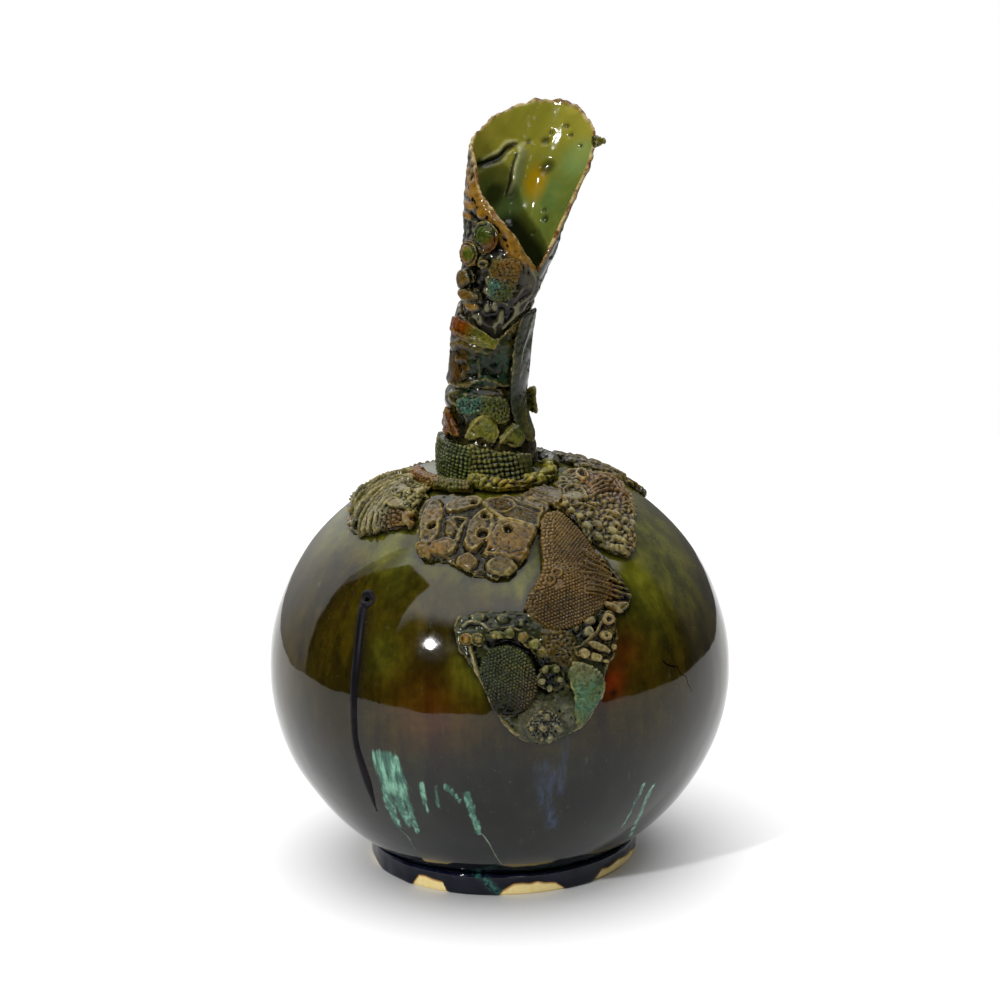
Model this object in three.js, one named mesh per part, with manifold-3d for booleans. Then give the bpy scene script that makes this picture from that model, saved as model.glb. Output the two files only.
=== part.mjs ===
// A hand-built stoneware bottle vase: a thrown globe on a foot ring, a neck of three rolled slabs
// socketed into each other, and a collar of textured clay slabs, coils and sprigs laid on with slip.
// Millimetres, +Z up. The origin is the middle of the foot's underside and the front faces -Y.
// Azimuths are degrees round from the front, positive towards +X.
import * as THREE from "three";
import { mergeVertices } from "three/addons/utils/BufferGeometryUtils.js";
import Module from "manifold-3d";

const wasm = await Module();
wasm.setup();

// Every two pieces are parted by a film of slip this thick.
const SLIP = 0.3;

// Globe: thrown, a little flatter than a ball, with a flat floor and a mouth at its crown, where it
// was pressed in a little under the neck.
const GLOBE_RADIUS = 120;
const GLOBE_HALF_HEIGHT = 111;
const GLOBE_WALL = 6;
const FLOOR_THICKNESS = 8;
const FOOT_RECESS = 5;
const MOUTH_RADIUS = 13;
const CROWN_DIP = 5;
const CROWN_DIP_START = 22;
const CROWN_DIP_END = 62;
const GLOBE_SIDES = 48;

// Foot ring: a plain band under the globe, its lower edge eased. Its height is up to where the
// globe's side meets its outside.
const FOOT_RADIUS = 69.5;
const FOOT_HEIGHT = 12.5;
const FOOT_WALL = 10;
const FOOT_EASING = 1.6;
const BELLY_HEIGHT = FOOT_HEIGHT + ballRise(FOOT_RADIUS);

// Neck: a tube on the crown, a sleeve round the tube's top and a scoop that stands in the sleeve.
// Heights are above where the crown would be if it weren't pressed in.
// The rows of NECK_LINE are height, shift to the right, shift back.
const CROWN = BELLY_HEIGHT + GLOBE_HALF_HEIGHT;
const NECK_LINE = [
  [-6, -1, 0],
  [14, -2.6, 0],
  [30, -4.8, 0],
  [50, -2.6, 0],
  [70, 0, 0],
  [91, 6.2, 0.5],
  [110, 11.2, 2],
  [130, 15.6, 4],
  [150, 22.6, 6],
  [181, 28.4, 10],
];
const NECK_SIDES = 32;
const SLEEVE_BORE = 16.2;
const SLEEVE_WALL = 3.2;
const SLEEVE_GROOVE = 1;
const SLEEVE_LIP = 0.4;
const SLEEVE_LIP_HEIGHT = 5;
const TUBE_WALL = 3.4;
const TUBE_TOP = 58;
const TUBE_BASE_RADIUS = 23.6;
const TUBE_WAIST_RADIUS = 19.6;
const TUBE_WAIST_HEIGHT = 22;
const TUBE_SHOULDER_HEIGHT = 36;
const TUBE_SHOULDER_EASING = 1.6;
const SCOOP_WALL = 3.2;
const SCOOP_RIM_WALL = 2.4;
const SCOOP_NECKING = 5;
const SCOOP_SEAM = 46;
const SCOOP_OVERLAP = 12;
const SCOOP_BUTT = 1.5;
const SCOOP_LAP_RISE = [-25, -4];
const SCOOP_COLUMNS = 36;
const SCOOP_ROWS = 13;
const SOCKET_ROWS = 3;

// The sleeve's top edge: rows of azimuth, height.
const SLEEVE_EDGE = [
  [-90, 80],
  [-75, 78],
  [-36, 71],
  [-6, 66],
  [19, 65],
  [45, 73],
  [75, 81],
  [120, 84],
  [180, 83],
  [270, 80],
];
// The scoop's rim: rows of degrees round from the seam, height. It runs round the right, the back
// and the left to the flap that closes over the seam in front.
const SCOOP_RIM = [
  [0, 93],
  [6, 102],
  [15, 108],
  [26, 118],
  [39, 132],
  [49, 146],
  [59, 158],
  [76, 166.5],
  [99, 174.5],
  [124, 177],
  [154, 176],
  [179, 170.5],
  [204, 164],
  [226, 159.5],
  [240, 156],
  [248, 149.5],
  [261, 139.5],
  [279, 132],
  [303, 121],
  [322, 112.5],
  [346, 101],
  [372, 91],
];
// Rows of height, half width and half depth, measured at the outside of the scoop.
const SCOOP_SECTION = [
  [74, SLEEVE_BORE + SLEEVE_WALL, SLEEVE_BORE + SLEEVE_WALL],
  [91, 20.4, 20.4],
  [101, 23, 22],
  [121, 25.7, 23.4],
  [141, 30.4, 25],
  [161, 33.8, 27],
  [181, 34, 28],
];

// Applied clay: its thicknesses, the pinched thorn on the rim, and how edges are eased. An edge is
// eased over a share of a small piece, and upright up to a share of its thickness.
const SLAB_THICKNESS = 4;
const SHIELD_THICKNESS = 3;
const SPRIG_THICKNESS = 2.1;
const NECK_SPRIG_THICKNESS = 2.6;
const PLATE_THICKNESS = 3.4;
const NECK_BAND_THICKNESS = 1.4;
const BACK_SLAB_THICKNESS = 3;
const RIB_RISE = 0.9;
const RIB_HALF_WIDTH = 2;
const RIB_PITCH = 10;
const LUG_HEIGHT = 6.2;
const COIL_DIAMETER = 7;
const COLLAR_THICKNESS = 4.2;
const THORN_LENGTH = 6;
const THORN_RADIUS = 3.2;
const THORN_TIP_RADIUS = 0.7;
const EDGE_EASING = 1.3;
const EDGE_SHARE = 0.35;
const EDGE_UPRIGHT = 0.6;
const CUT_DEPTH = 1.2;
const GLOBE_SLAB_STEP = 12;
const NECK_SPRIG_STEP = 4.5;

const GLAZES = {
  olive: { color: 0x4a4a1e, roughness: 0.12 },
  ink: { color: 0x14161f, roughness: 0.1 },
  bark: { color: 0x6b5130, roughness: 0.2 },
  moss: { color: 0x56602a, roughness: 0.2 },
  amber: { color: 0x8a5a1c, roughness: 0.18 },
  sand: { color: 0x8c8350, roughness: 0.2 },
  jade: { color: 0x5f8f6c, roughness: 0.12 },
};
const materials = Object.fromEntries(
  Object.entries(GLAZES).map(([name, glaze]) => [
    name,
    new THREE.MeshStandardMaterial({ name, metalness: 0, ...glaze }),
  ]),
);

const radians = THREE.MathUtils.degToRad;
const { smoothstep, lerp, euclideanModulo } = THREE.MathUtils;

// A smooth curve through rows of [key, value, value...]: returns the values at any key.
function curveThrough(rows) {
  const keys = rows.map((row) => row[0]);
  const values = rows.flatMap((row) => row.slice(1));
  const curve = new THREE.CubicInterpolant(keys, values, rows[0].length - 1);
  return (key) => Array.from(curve.evaluate(THREE.MathUtils.clamp(key, keys[0], keys.at(-1))));
}

const neckLine = curveThrough(NECK_LINE);
const sleeveEdge = curveThrough(SLEEVE_EDGE);
const scoopRim = curveThrough(SCOOP_RIM);
const scoopSection = curveThrough(SCOOP_SECTION);

// Solids

// A closed geometry as a solid that can be cut: vertices merged, faces that closed up dropped.
function solidOf(geometry) {
  const bare = geometry.index ? geometry : mergeVertices(geometry);
  bare.deleteAttribute("normal");
  bare.deleteAttribute("uv");
  const merged = mergeVertices(bare, 1e-3);
  const faces = [];
  for (let i = 0; i < merged.index.count; i += 3) {
    const [a, b, c] = [0, 1, 2].map((k) => merged.index.getX(i + k));
    if (a !== b && b !== c && a !== c) faces.push(a, b, c);
  }
  return new wasm.Manifold(
    new wasm.Mesh({
      numProp: 3,
      vertProperties: merged.attributes.position.array,
      triVerts: Uint32Array.from(faces),
    }),
  );
}

function geometryOf(solid) {
  const mesh = solid.getMesh();
  const geometry = new THREE.BufferGeometry();
  const position = new Float32Array(mesh.numVert * 3);
  for (let i = 0; i < mesh.numVert; i++) {
    position.set(mesh.vertProperties.subarray(i * mesh.numProp, i * mesh.numProp + 3), i * 3);
  }
  geometry.setAttribute("position", new THREE.BufferAttribute(position, 3));
  geometry.setIndex(new THREE.BufferAttribute(mesh.triVerts, 1));
  geometry.computeVertexNormals();
  return geometry;
}

const vase = new THREE.Group();
vase.name = "stoneware_vase";

function place(name, glaze, solid) {
  const mesh = new THREE.Mesh(geometryOf(solid), materials[glaze]);
  mesh.name = name;
  vase.add(mesh);
}

// Clay laid on so far: each piece with the room that it needs, so that the next ones butt against it.
const laid = [];

// Lays a piece of clay on. It is cut back by the room of those laid before it, but not by the one
// that it lies over. shape(room) gives the piece grown by that much.
function lay(name, glaze, shape, over) {
  let solid = shape(0);
  for (const other of laid) {
    if (other.name !== over && reaches(solid, other.room)) solid = solid.subtract(other.room);
  }
  place(name, glaze, largestPart(solid));
  laid.push({ name, room: shape(SLIP) });
}

// Where a cut leaves crumbs beside a piece, the crumbs are wiped away.
function largestPart(solid) {
  return solid.decompose().reduce((a, b) => (b.volume() > a.volume() ? b : a));
}

function reaches(a, b) {
  const [p, q] = [a.boundingBox(), b.boundingBox()];
  return [0, 1, 2].every((k) => p.min[k] < q.max[k] && q.min[k] < p.max[k]);
}

// Globe

// Height of the globe's side above or below the belly, at a distance from the axis, and how far its
// crown is pressed in there.
function ballRise(distance, radius = GLOBE_RADIUS, halfHeight = GLOBE_HALF_HEIGHT) {
  return halfHeight * Math.sqrt(Math.max(0, 1 - (distance / radius) ** 2));
}

function crownDip(distance) {
  return CROWN_DIP * (1 - smoothstep(distance, CROWN_DIP_START, CROWN_DIP_END));
}

// Points up the side of the ball or of its hollow, between two heights from the belly.
function sideOfBall(radius, halfHeight, from, to, steps) {
  const [start, end] = [from, to].map((height) => Math.asin(height / halfHeight));
  return Array.from({ length: steps + 1 }, (_, i) => {
    const angle = lerp(start, end, i / steps);
    const distance = radius * Math.cos(angle);
    const dip = angle > 0 ? crownDip(distance) : 0;
    return new THREE.Vector2(distance, BELLY_HEIGHT + halfHeight * Math.sin(angle) - dip);
  });
}

function turned(profile) {
  return solidOf(new THREE.LatheGeometry(profile, GLOBE_SIDES).rotateX(Math.PI / 2));
}

function globe() {
  const innerRadius = GLOBE_RADIUS - GLOBE_WALL;
  const innerHalfHeight = GLOBE_HALF_HEIGHT - GLOBE_WALL;
  const floorTop = FOOT_RECESS + FLOOR_THICKNESS;
  const outer = (from, to, steps) => sideOfBall(GLOBE_RADIUS, GLOBE_HALF_HEIGHT, from, to, steps);
  const outside = [
    ...outer(FOOT_RECESS - BELLY_HEIGHT, 0, 7),
    ...outer(0, ballRise(MOUTH_RADIUS), 10).slice(1),
  ];
  const inside = sideOfBall(
    innerRadius,
    innerHalfHeight,
    ballRise(MOUTH_RADIUS, innerRadius, innerHalfHeight),
    floorTop - BELLY_HEIGHT,
    10,
  );
  return turned([
    new THREE.Vector2(0, FOOT_RECESS),
    ...outside,
    ...inside,
    new THREE.Vector2(0, floorTop),
  ]);
}

function footRing() {
  const inner = FOOT_RADIUS - FOOT_WALL;
  const underGlobe = (distance) => BELLY_HEIGHT - ballRise(distance) - SLIP;
  return turned([
    new THREE.Vector2(inner, 0),
    new THREE.Vector2(FOOT_RADIUS - FOOT_EASING, 0),
    new THREE.Vector2(FOOT_RADIUS, FOOT_EASING),
    new THREE.Vector2(FOOT_RADIUS, underGlobe(FOOT_RADIUS)),
    new THREE.Vector2(FOOT_RADIUS - FOOT_WALL / 2, underGlobe(FOOT_RADIUS - FOOT_WALL / 2)),
    new THREE.Vector2(inner, underGlobe(inner)),
    new THREE.Vector2(inner, 0),
  ]);
}

// A flat bed laid on the globe: mm to the right, mm up and mm out become a point on the globe.
// The bed touches it at an azimuth, and so many mm down the curve from the crown.
function globeBed(azimuth, drop) {
  const meanRadius = (GLOBE_RADIUS + GLOBE_HALF_HEIGHT) / 2;
  const [a, p] = [radians(azimuth), drop / meanRadius];
  const out = new THREE.Vector3(Math.sin(p) * Math.sin(a), -Math.sin(p) * Math.cos(a), Math.cos(p));
  const right = new THREE.Vector3(Math.cos(a), Math.sin(a), 0);
  const up = new THREE.Vector3().crossVectors(out, right);
  return (x, y, lift) => {
    const reach = Math.hypot(x, y) || 1e-9;
    const turn = reach / meanRadius;
    const unit = out
      .clone()
      .multiplyScalar(Math.cos(turn))
      .addScaledVector(right, (Math.sin(turn) * x) / reach)
      .addScaledVector(up, (Math.sin(turn) * y) / reach);
    const point = new THREE.Vector3(
      unit.x * GLOBE_RADIUS,
      unit.y * GLOBE_RADIUS,
      unit.z * GLOBE_HALF_HEIGHT,
    );
    const normal = new THREE.Vector3(
      unit.x / GLOBE_RADIUS,
      unit.y / GLOBE_RADIUS,
      unit.z / GLOBE_HALF_HEIGHT,
    ).normalize();
    point.z += BELLY_HEIGHT - crownDip(Math.hypot(point.x, point.y));
    return point.addScaledVector(normal, lift);
  };
}

// Neck

// A point beside the neck's line, at an azimuth, a height above the crown and a half width and depth.
function besideNeck(azimuth, height, halfWidth, halfDepth = halfWidth) {
  const [right, back] = neckLine(height);
  return new THREE.Vector3(
    right + halfWidth * Math.sin(radians(azimuth)),
    back - halfDepth * Math.cos(radians(azimuth)),
    CROWN + height,
  );
}

// Height over the crown at which something at that place round the neck's foot stands on the globe.
function crownRise(azimuth, radius) {
  const foot = besideNeck(azimuth, 0, radius);
  const distance = Math.hypot(foot.x, foot.y);
  return ballRise(distance) - crownDip(distance) - GLOBE_HALF_HEIGHT + SLIP;
}

const SPIGOT_RADIUS = SLEEVE_BORE - SLIP;
const SLEEVE_RADIUS = SLEEVE_BORE + SLEEVE_WALL;
const SLEEVE_FOOT = TUBE_SHOULDER_HEIGHT + TUBE_SHOULDER_EASING + SLEEVE_GROOVE;

function tubeRadius(height) {
  const shaft = lerp(
    TUBE_BASE_RADIUS,
    TUBE_WAIST_RADIUS,
    smoothstep(height, 0, TUBE_WAIST_HEIGHT),
  );
  return height > TUBE_SHOULDER_HEIGHT ? SPIGOT_RADIUS : shaft;
}

// A ring-shaped wall: pointAt(azimuth, row, outside) gives its points, for rows from 0 to rows.
function ringWall(sides, rows, pointAt) {
  const profile = [];
  for (let row = 0; row <= rows; row++) profile.push([row, true]);
  for (let row = rows; row >= 0; row--) profile.push([row, false]);
  profile.push(profile[0]);
  const wall = new THREE.LatheGeometry(
    profile.map(([row, outside]) => new THREE.Vector2(outside ? 2 : 1, row)),
    sides,
  );
  const position = wall.getAttribute("position");
  for (let i = 0; i < position.count; i++) {
    const column = Math.floor(i / profile.length) % sides;
    const [row, outside] = profile[i % profile.length];
    position.setXYZ(i, ...pointAt((360 * column) / sides, row, outside));
  }
  return solidOf(wall);
}

// The tube's rows stand on the globe, crowd at its shoulder and end inside the sleeve.
function neckTube(room) {
  const bore = SPIGOT_RADIUS - TUBE_WALL;
  const heights = [
    null,
    0.2 * TUBE_WAIST_HEIGHT,
    0.4 * TUBE_WAIST_HEIGHT,
    0.6 * TUBE_WAIST_HEIGHT,
    0.8 * TUBE_WAIST_HEIGHT,
    TUBE_WAIST_HEIGHT,
    (TUBE_WAIST_HEIGHT + TUBE_SHOULDER_HEIGHT) / 2,
    TUBE_SHOULDER_HEIGHT,
    TUBE_SHOULDER_HEIGHT + TUBE_SHOULDER_EASING,
    TUBE_TOP,
  ];
  return ringWall(NECK_SIDES, heights.length - 1, (azimuth, row, outside) => {
    const radius = outside ? tubeRadius(heights[row] ?? 0) + room : bore;
    const height = heights[row] ?? underside(crownRise(azimuth, radius), room);
    return besideNeck(azimuth, height, radius);
  });
}

function sleeveRadius(height, top) {
  const lower = 1 - smoothstep(height, SLEEVE_FOOT, SLEEVE_FOOT + SLEEVE_LIP_HEIGHT);
  const upper = smoothstep(height, top - SLEEVE_LIP_HEIGHT, top);
  return SLEEVE_RADIUS + SLEEVE_LIP * (lower + upper);
}

function neckSleeve() {
  const rows = 6;
  return ringWall(NECK_SIDES, rows, (azimuth, row, outside) => {
    const [top] = sleeveEdge(roundFromLeft(azimuth));
    const height = lerp(SLEEVE_FOOT, top, row / rows);
    const radius = outside ? sleeveRadius(height, top) : SLEEVE_BORE;
    return besideNeck(azimuth, height, radius);
  });
}

// The same azimuth between -90 and 270, as the sleeve's edge has it.
function roundFromLeft(azimuth) {
  return euclideanModulo(azimuth + 90, 360) - 90;
}

// A slab rolled once round: its first edge is at the seam, and its last edge laps over the first.
// Its lowest rows stand inside the sleeve and neck out over the sleeve's edge.
function neckScoop() {
  const sheet = new THREE.BoxGeometry(1, 1, 1, SCOOP_COLUMNS, SCOOP_ROWS, 1);
  const position = sheet.getAttribute("position");
  for (let i = 0; i < position.count; i++) {
    const across = Math.round((position.getX(i) + 0.5) * SCOOP_COLUMNS) / SCOOP_COLUMNS;
    const row = Math.round((position.getY(i) + 0.5) * SCOOP_ROWS);
    const outside = position.getZ(i) > 0;
    const inSocket = row <= SOCKET_ROWS;
    const sweep = lerp(
      360 - SCOOP_BUTT,
      360 + SCOOP_OVERLAP,
      smoothstep(row, SOCKET_ROWS + 2, SOCKET_ROWS + 4),
    );
    const azimuth = SCOOP_SEAM + sweep * across;
    const [edge] = sleeveEdge(roundFromLeft(azimuth));
    const [rim] = scoopRim(sweep * across);
    const above = Math.max(0, (row - SOCKET_ROWS - 1) / (SCOOP_ROWS - SOCKET_ROWS - 1));
    const height = inSocket
      ? lerp(TUBE_TOP + SLIP, edge + SLIP, row / SOCKET_ROWS)
      : lerp(edge + SCOOP_NECKING, rim, above);
    const beside = smoothstep(azimuth - SCOOP_SEAM - 360, ...SCOOP_LAP_RISE);
    const wall = lerp(SCOOP_WALL, SCOOP_RIM_WALL, above ** 3);
    const risen = smoothstep(row, SOCKET_ROWS, SOCKET_ROWS + 2);
    const lapped = (SCOOP_WALL + SLIP) * beside * risen;
    const lift = lapped - (outside ? 0 : wall);
    const [halfWidth, halfDepth] = inSocket
      ? [SPIGOT_RADIUS, SPIGOT_RADIUS]
      : scoopSection(height);
    position.setXYZ(i, ...besideNeck(azimuth, height, halfWidth + lift, halfDepth + lift));
  }
  return solidOf(sheet);
}

// Beds on the neck, as on the globe: mm right, up and out of a spot at an azimuth and a height.
const neckBed = (halves) => (azimuth, height) => (x, y, lift) => {
  const [spotRadius] = halves(azimuth, height);
  const around = azimuth + THREE.MathUtils.radToDeg(x / spotRadius);
  const [halfWidth, halfDepth] = halves(around, height + y);
  return besideNeck(around, height + y, halfWidth + lift, halfDepth + lift);
};
const tubeBed = neckBed((azimuth, height) => {
  const radius = tubeRadius(Math.min(height, TUBE_SHOULDER_HEIGHT));
  return [radius, radius];
});
const sleeveBed = neckBed(() => {
  const radius = Math.max(SLEEVE_RADIUS + SLEEVE_LIP, TUBE_WAIST_RADIUS);
  return [radius, radius];
});
const scoopBed = neckBed((azimuth, height) => scoopSection(height));
// Down the flank, from the sleeve onto the flare of the tube's foot.
const flankBed = neckBed((azimuth, height) => {
  const shaft = tubeRadius(Math.min(height, TUBE_SHOULDER_HEIGHT));
  const radius = Math.max(SLEEVE_RADIUS + SLEEVE_LIP, shaft);
  return [radius, radius];
});

// Clay shapes laid on a bed. Each is a function of the room left round it.

// A closed outline through the given points, always counter-clockwise, grown outwards.
function smoothOutline(points, count, grow) {
  const flat = points.map(([x, y]) => new THREE.Vector2(x, y));
  if (THREE.ShapeUtils.area(flat) < 0) flat.reverse();
  const loop = new THREE.CatmullRomCurve3(
    flat.map((p) => new THREE.Vector3(p.x, p.y, 0)),
    true,
    "centripetal",
  );
  return Array.from({ length: count }, (_, i) => {
    const at = loop.getPointAt(i / count);
    const along = loop.getTangentAt(i / count);
    return new THREE.Vector2(at.x + along.y * grow, at.y - along.x * grow);
  });
}

// An outline for a round or oval sprig: half sizes and how far it leans to the left, in degrees.
function oval(halfWidth, halfHeight, lean = 0) {
  const middle = new THREE.Vector2();
  return Array.from({ length: 8 }, (_, i) => {
    const angle = (Math.PI * i) / 4;
    const point = new THREE.Vector2(halfWidth * Math.cos(angle), halfHeight * Math.sin(angle));
    return point.rotateAround(middle, radians(lean)).toArray();
  });
}

// The room of a piece reaches well below it, so that what it cuts is cut right through.
function underside(height, room) {
  return room ? height - CUT_DEPTH : height;
}

// A slab starts as a unit disc with an eased edge. Each point then moves to the outline and the bed.
// lift is where its underside lies, and dome is how far its middle stands above its edge.
function slab(bed, outline, options = {}) {
  const { thickness = SLAB_THICKNESS, lift = SLIP, dome = 0 } = options;
  const { sides = 24, step = GLOBE_SLAB_STEP } = options;
  return (room) => {
    const edge = smoothOutline(outline, sides, room);
    const middle = edge.reduce((sum, p) => sum.add(p), new THREE.Vector2()).divideScalar(sides);
    const reach = Math.max(...edge.map((p) => p.distanceTo(middle)));
    const rings = Math.ceil(reach / step);
    const eased = 1 - Math.min(EDGE_EASING / reach, EDGE_SHARE);
    const under = Array.from({ length: rings }, (_, i) => [(i / rings) * eased, 0]);
    const top = Array.from({ length: rings }, (_, i) => [eased * (1 - i / rings), 1]);
    const profile = [...under, [1, 0], [1, EDGE_UPRIGHT], ...top, [0, 1]];
    const disc = new THREE.LatheGeometry(
      profile.map(([x, y]) => new THREE.Vector2(x, y)),
      sides,
    );
    const position = disc.getAttribute("position");
    for (let i = 0; i < position.count; i++) {
      const spoke = edge[Math.floor(i / profile.length) % sides];
      const [share, level] = profile[i % profile.length];
      const spot = middle.clone().lerp(spoke, share);
      const crowned = thickness + dome * (1 - share ** 2) + room;
      const out = level ? lift + level * crowned : underside(lift, room);
      position.setXYZ(i, ...bed(spot.x, spot.y, out));
    }
    return solidOf(disc);
  };
}

// A strip follows a line of [right, up, half width] on its bed.
function strip(bed, line, { thickness, lift = SLIP, steps = 16, across = 2 }) {
  return (room) => {
    const widths = curveThrough(line.map(([, , width], i) => [i / (line.length - 1), width]));
    const path = new THREE.CatmullRomCurve3(line.map(([x, y]) => new THREE.Vector3(x, y, 0)));
    const bar = new THREE.BoxGeometry(1, 1, 1, steps, across, 1);
    const position = bar.getAttribute("position");
    for (let i = 0; i < position.count; i++) {
      const share = Math.round((position.getX(i) + 0.5) * steps) / steps;
      const at = path.getPoint(share);
      const along = path.getTangent(share);
      const end = share === 0 ? -room : share === 1 ? room : 0;
      const side = 2 * position.getY(i) * (widths(share)[0] + room);
      const out = position.getZ(i) > 0 ? lift + thickness + room : underside(lift, room);
      const [x, y] = [at.x - along.y * side + along.x * end, at.y + along.x * side + along.y * end];
      position.setXYZ(i, ...bed(x, y, out));
    }
    return solidOf(bar);
  };
}

// A round coil of clay pressed onto its bed, along a line of [right, up].
function coil(bed, line, { diameter = COIL_DIAMETER, steps = 14, sides = 8 }) {
  return (room) => {
    const radius = diameter / 2 + room;
    const lift = diameter / 2 + SLIP;
    const path = new THREE.CatmullRomCurve3(line.map(([x, y]) => bed(x, y, lift)));
    const section = new THREE.Shape().absarc(0, 0, radius, 0, 2 * Math.PI);
    return solidOf(
      new THREE.ExtrudeGeometry(section, {
        steps,
        curveSegments: sides / 2,
        extrudePath: path,
      }),
    );
  };
}

// A collar wraps the foot of the neck between two azimuths and stands on the globe.
function collar(from, to, startHeight, endHeight) {
  return (room) => {
    const columns = Math.round((to - from) / 10);
    const rows = 3;
    const wrap = new THREE.BoxGeometry(1, 1, 1, columns, rows, 1);
    const position = wrap.getAttribute("position");
    const roomTurn = THREE.MathUtils.radToDeg(room / TUBE_BASE_RADIUS);
    for (let i = 0; i < position.count; i++) {
      const across = Math.round((position.getX(i) + 0.5) * columns) / columns;
      const rise = Math.round((position.getY(i) + 0.5) * rows) / rows;
      const azimuth = lerp(from - roomTurn, to + roomTurn, across);
      const out = position.getZ(i) > 0 ? SLIP + COLLAR_THICKNESS + room : underside(SLIP, room);
      const foot = underside(crownRise(azimuth, TUBE_BASE_RADIUS + out), room);
      const height = lerp(foot, lerp(startHeight, endHeight, across) + room, rise);
      position.setXYZ(i, ...besideNeck(azimuth, height, tubeRadius(height) + out));
    }
    return solidOf(wrap);
  };
}

// Body and neck

place("foot_ring", "ink", footRing());
place("globe", "olive", globe());
place("neck_tube", "moss", neckTube(0));
place("neck_sleeve", "moss", neckSleeve());
place("neck_scoop", "bark", neckScoop());

// Clay laid on the neck

function neckSprig(name, glaze, bed, outline, options) {
  const sprig = {
    thickness: NECK_SPRIG_THICKNESS,
    step: NECK_SPRIG_STEP,
    sides: 16,
    ...options,
  };
  lay(name, glaze, slab(bed, outline, sprig));
}

lay(
  "neck_side_slab",
  "moss",
  strip(
    flankBed(62, 50),
    [
      [5, -40, 6],
      [1, -28, 8],
      [0, -14, 8.5],
      [0, 4, 9],
      [1, 16, 8.5],
      [0, 27, 6],
    ],
    { thickness: NECK_SPRIG_THICKNESS, steps: 14, across: 4 },
  ),
);
lay(
  "neck_band",
  "amber",
  strip(
    sleeveBed(-36, 67),
    [
      [-13, 4, 3.4],
      [-7, 3, 4.2],
      [2, 0.2, 4.2],
      [10, -3, 3.2],
      [16, -6, 2],
    ],
    { thickness: NECK_BAND_THICKNESS, steps: 14 },
  ),
);

neckSprig("medallion_large", "amber", scoopBed(-33, 116), oval(6.6, 8.6, 24), { dome: 0.8 });
neckSprig("medallion_small", "amber", scoopBed(-53, 107), oval(5.6, 6.6, 30), {
  thickness: PLATE_THICKNESS,
  dome: 0.8,
});
neckSprig("ring_bead", "moss", scoopBed(-30, 102.6), oval(2.7, 2.7), { sides: 10 });
neckSprig("scale_plate_upper", "amber", scoopBed(-57, 94), oval(5.4, 6.2, -20), {
  thickness: PLATE_THICKNESS,
  dome: 0.8,
});
neckSprig("scale_plate_lower", "amber", scoopBed(-46, 86.5), oval(7.8, 3.6, -8), {
  thickness: PLATE_THICKNESS,
  dome: 0.8,
});
neckSprig(
  "pebble_patch",
  "moss",
  scoopBed(0, 97),
  [
    [-7, 7],
    [0, 8.5],
    [6, 6],
    [7, -2],
    [6, -11],
    [0, -14],
    [-6, -9],
    [-8, 0],
  ],
);
neckSprig(
  "back_plate_high",
  "bark",
  scoopBed(165, 128),
  [
    [-15, 18],
    [2, 22],
    [16, 14],
    [13, -8],
    [4, -22],
    [-9, -16],
    [-16, 0],
  ],
);
neckSprig("back_plate_low", "moss", sleeveBed(205, 62), oval(13, 9, 35));

// A pinched point of clay at the right of the rim.
function rimThorn(room) {
  const bed = scoopBed(107, 158);
  const [tip, root] = [THORN_TIP_RADIUS + room, THORN_RADIUS + room];
  const thorn = new THREE.CylinderGeometry(tip, root, THORN_LENGTH + room, 8, 1);
  thorn.translate(0, (THORN_LENGTH + room) / 2 + SLIP, 0);
  const position = thorn.getAttribute("position");
  for (let i = 0; i < position.count; i++) {
    position.setXYZ(i, ...bed(position.getX(i), -position.getZ(i), position.getY(i)));
  }
  return solidOf(thorn);
}
lay("rim_thorn", "moss", rimThorn);

neckSprig("leaf_left", "sand", tubeBed(-8, 18), [
  [-7.6, -5],
  [-6.6, 0],
  [-3, 5.6],
  [2, 7.6],
  [6, 5],
  [7.2, -1],
  [3.4, -6.6],
  [-0.6, -3.6],
]);
neckSprig("leaf_right", "sand", tubeBed(36, 14.5), [
  [-8.2, -2],
  [-3.6, 3],
  [2, 5.6],
  [6.4, 3.6],
  [6, -1.6],
  [1, -6],
  [-3.6, -5.6],
]);
neckSprig("wing_sprig", "amber", tubeBed(-64, 18), [
  [0.6, 10],
  [5, 2],
  [8.6, -4.6],
  [1.6, -2.6],
  [-3.8, -6.4],
  [-8, 0],
  [-3.4, 4.4],
]);
neckSprig(
  "pebble_band",
  "jade",
  tubeBed(-2, 30),
  [
    [-12.5, 3],
    [-4, 4.4],
    [11, 3.4],
    [13, -4],
    [10.6, -9.4],
    [6.6, -8],
    [-1, -3.4],
    [-8, -4.6],
    [-12.5, -3],
  ],
  { sides: 20 },
);
neckSprig("side_lug", "moss", tubeBed(97, 28), oval(2.2, 6.8), {
  thickness: LUG_HEIGHT,
  sides: 12,
});

lay("net_collar_left", "moss", collar(-104, -23, 11.5, 10.5));
lay("net_collar_right", "moss", collar(-21, 46, 10.5, 4.5));

// Clay laid on the globe, from the topmost down. Outlines are [right, up] of the bed's middle.
// It also butts against the foot of the neck.
laid.push({ name: "neck_tube", room: neckTube(SLIP) });

function globeSlab(name, glaze, azimuth, drop, outline, options) {
  lay(name, glaze, slab(globeBed(azimuth, drop), outline, options));
}

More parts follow.
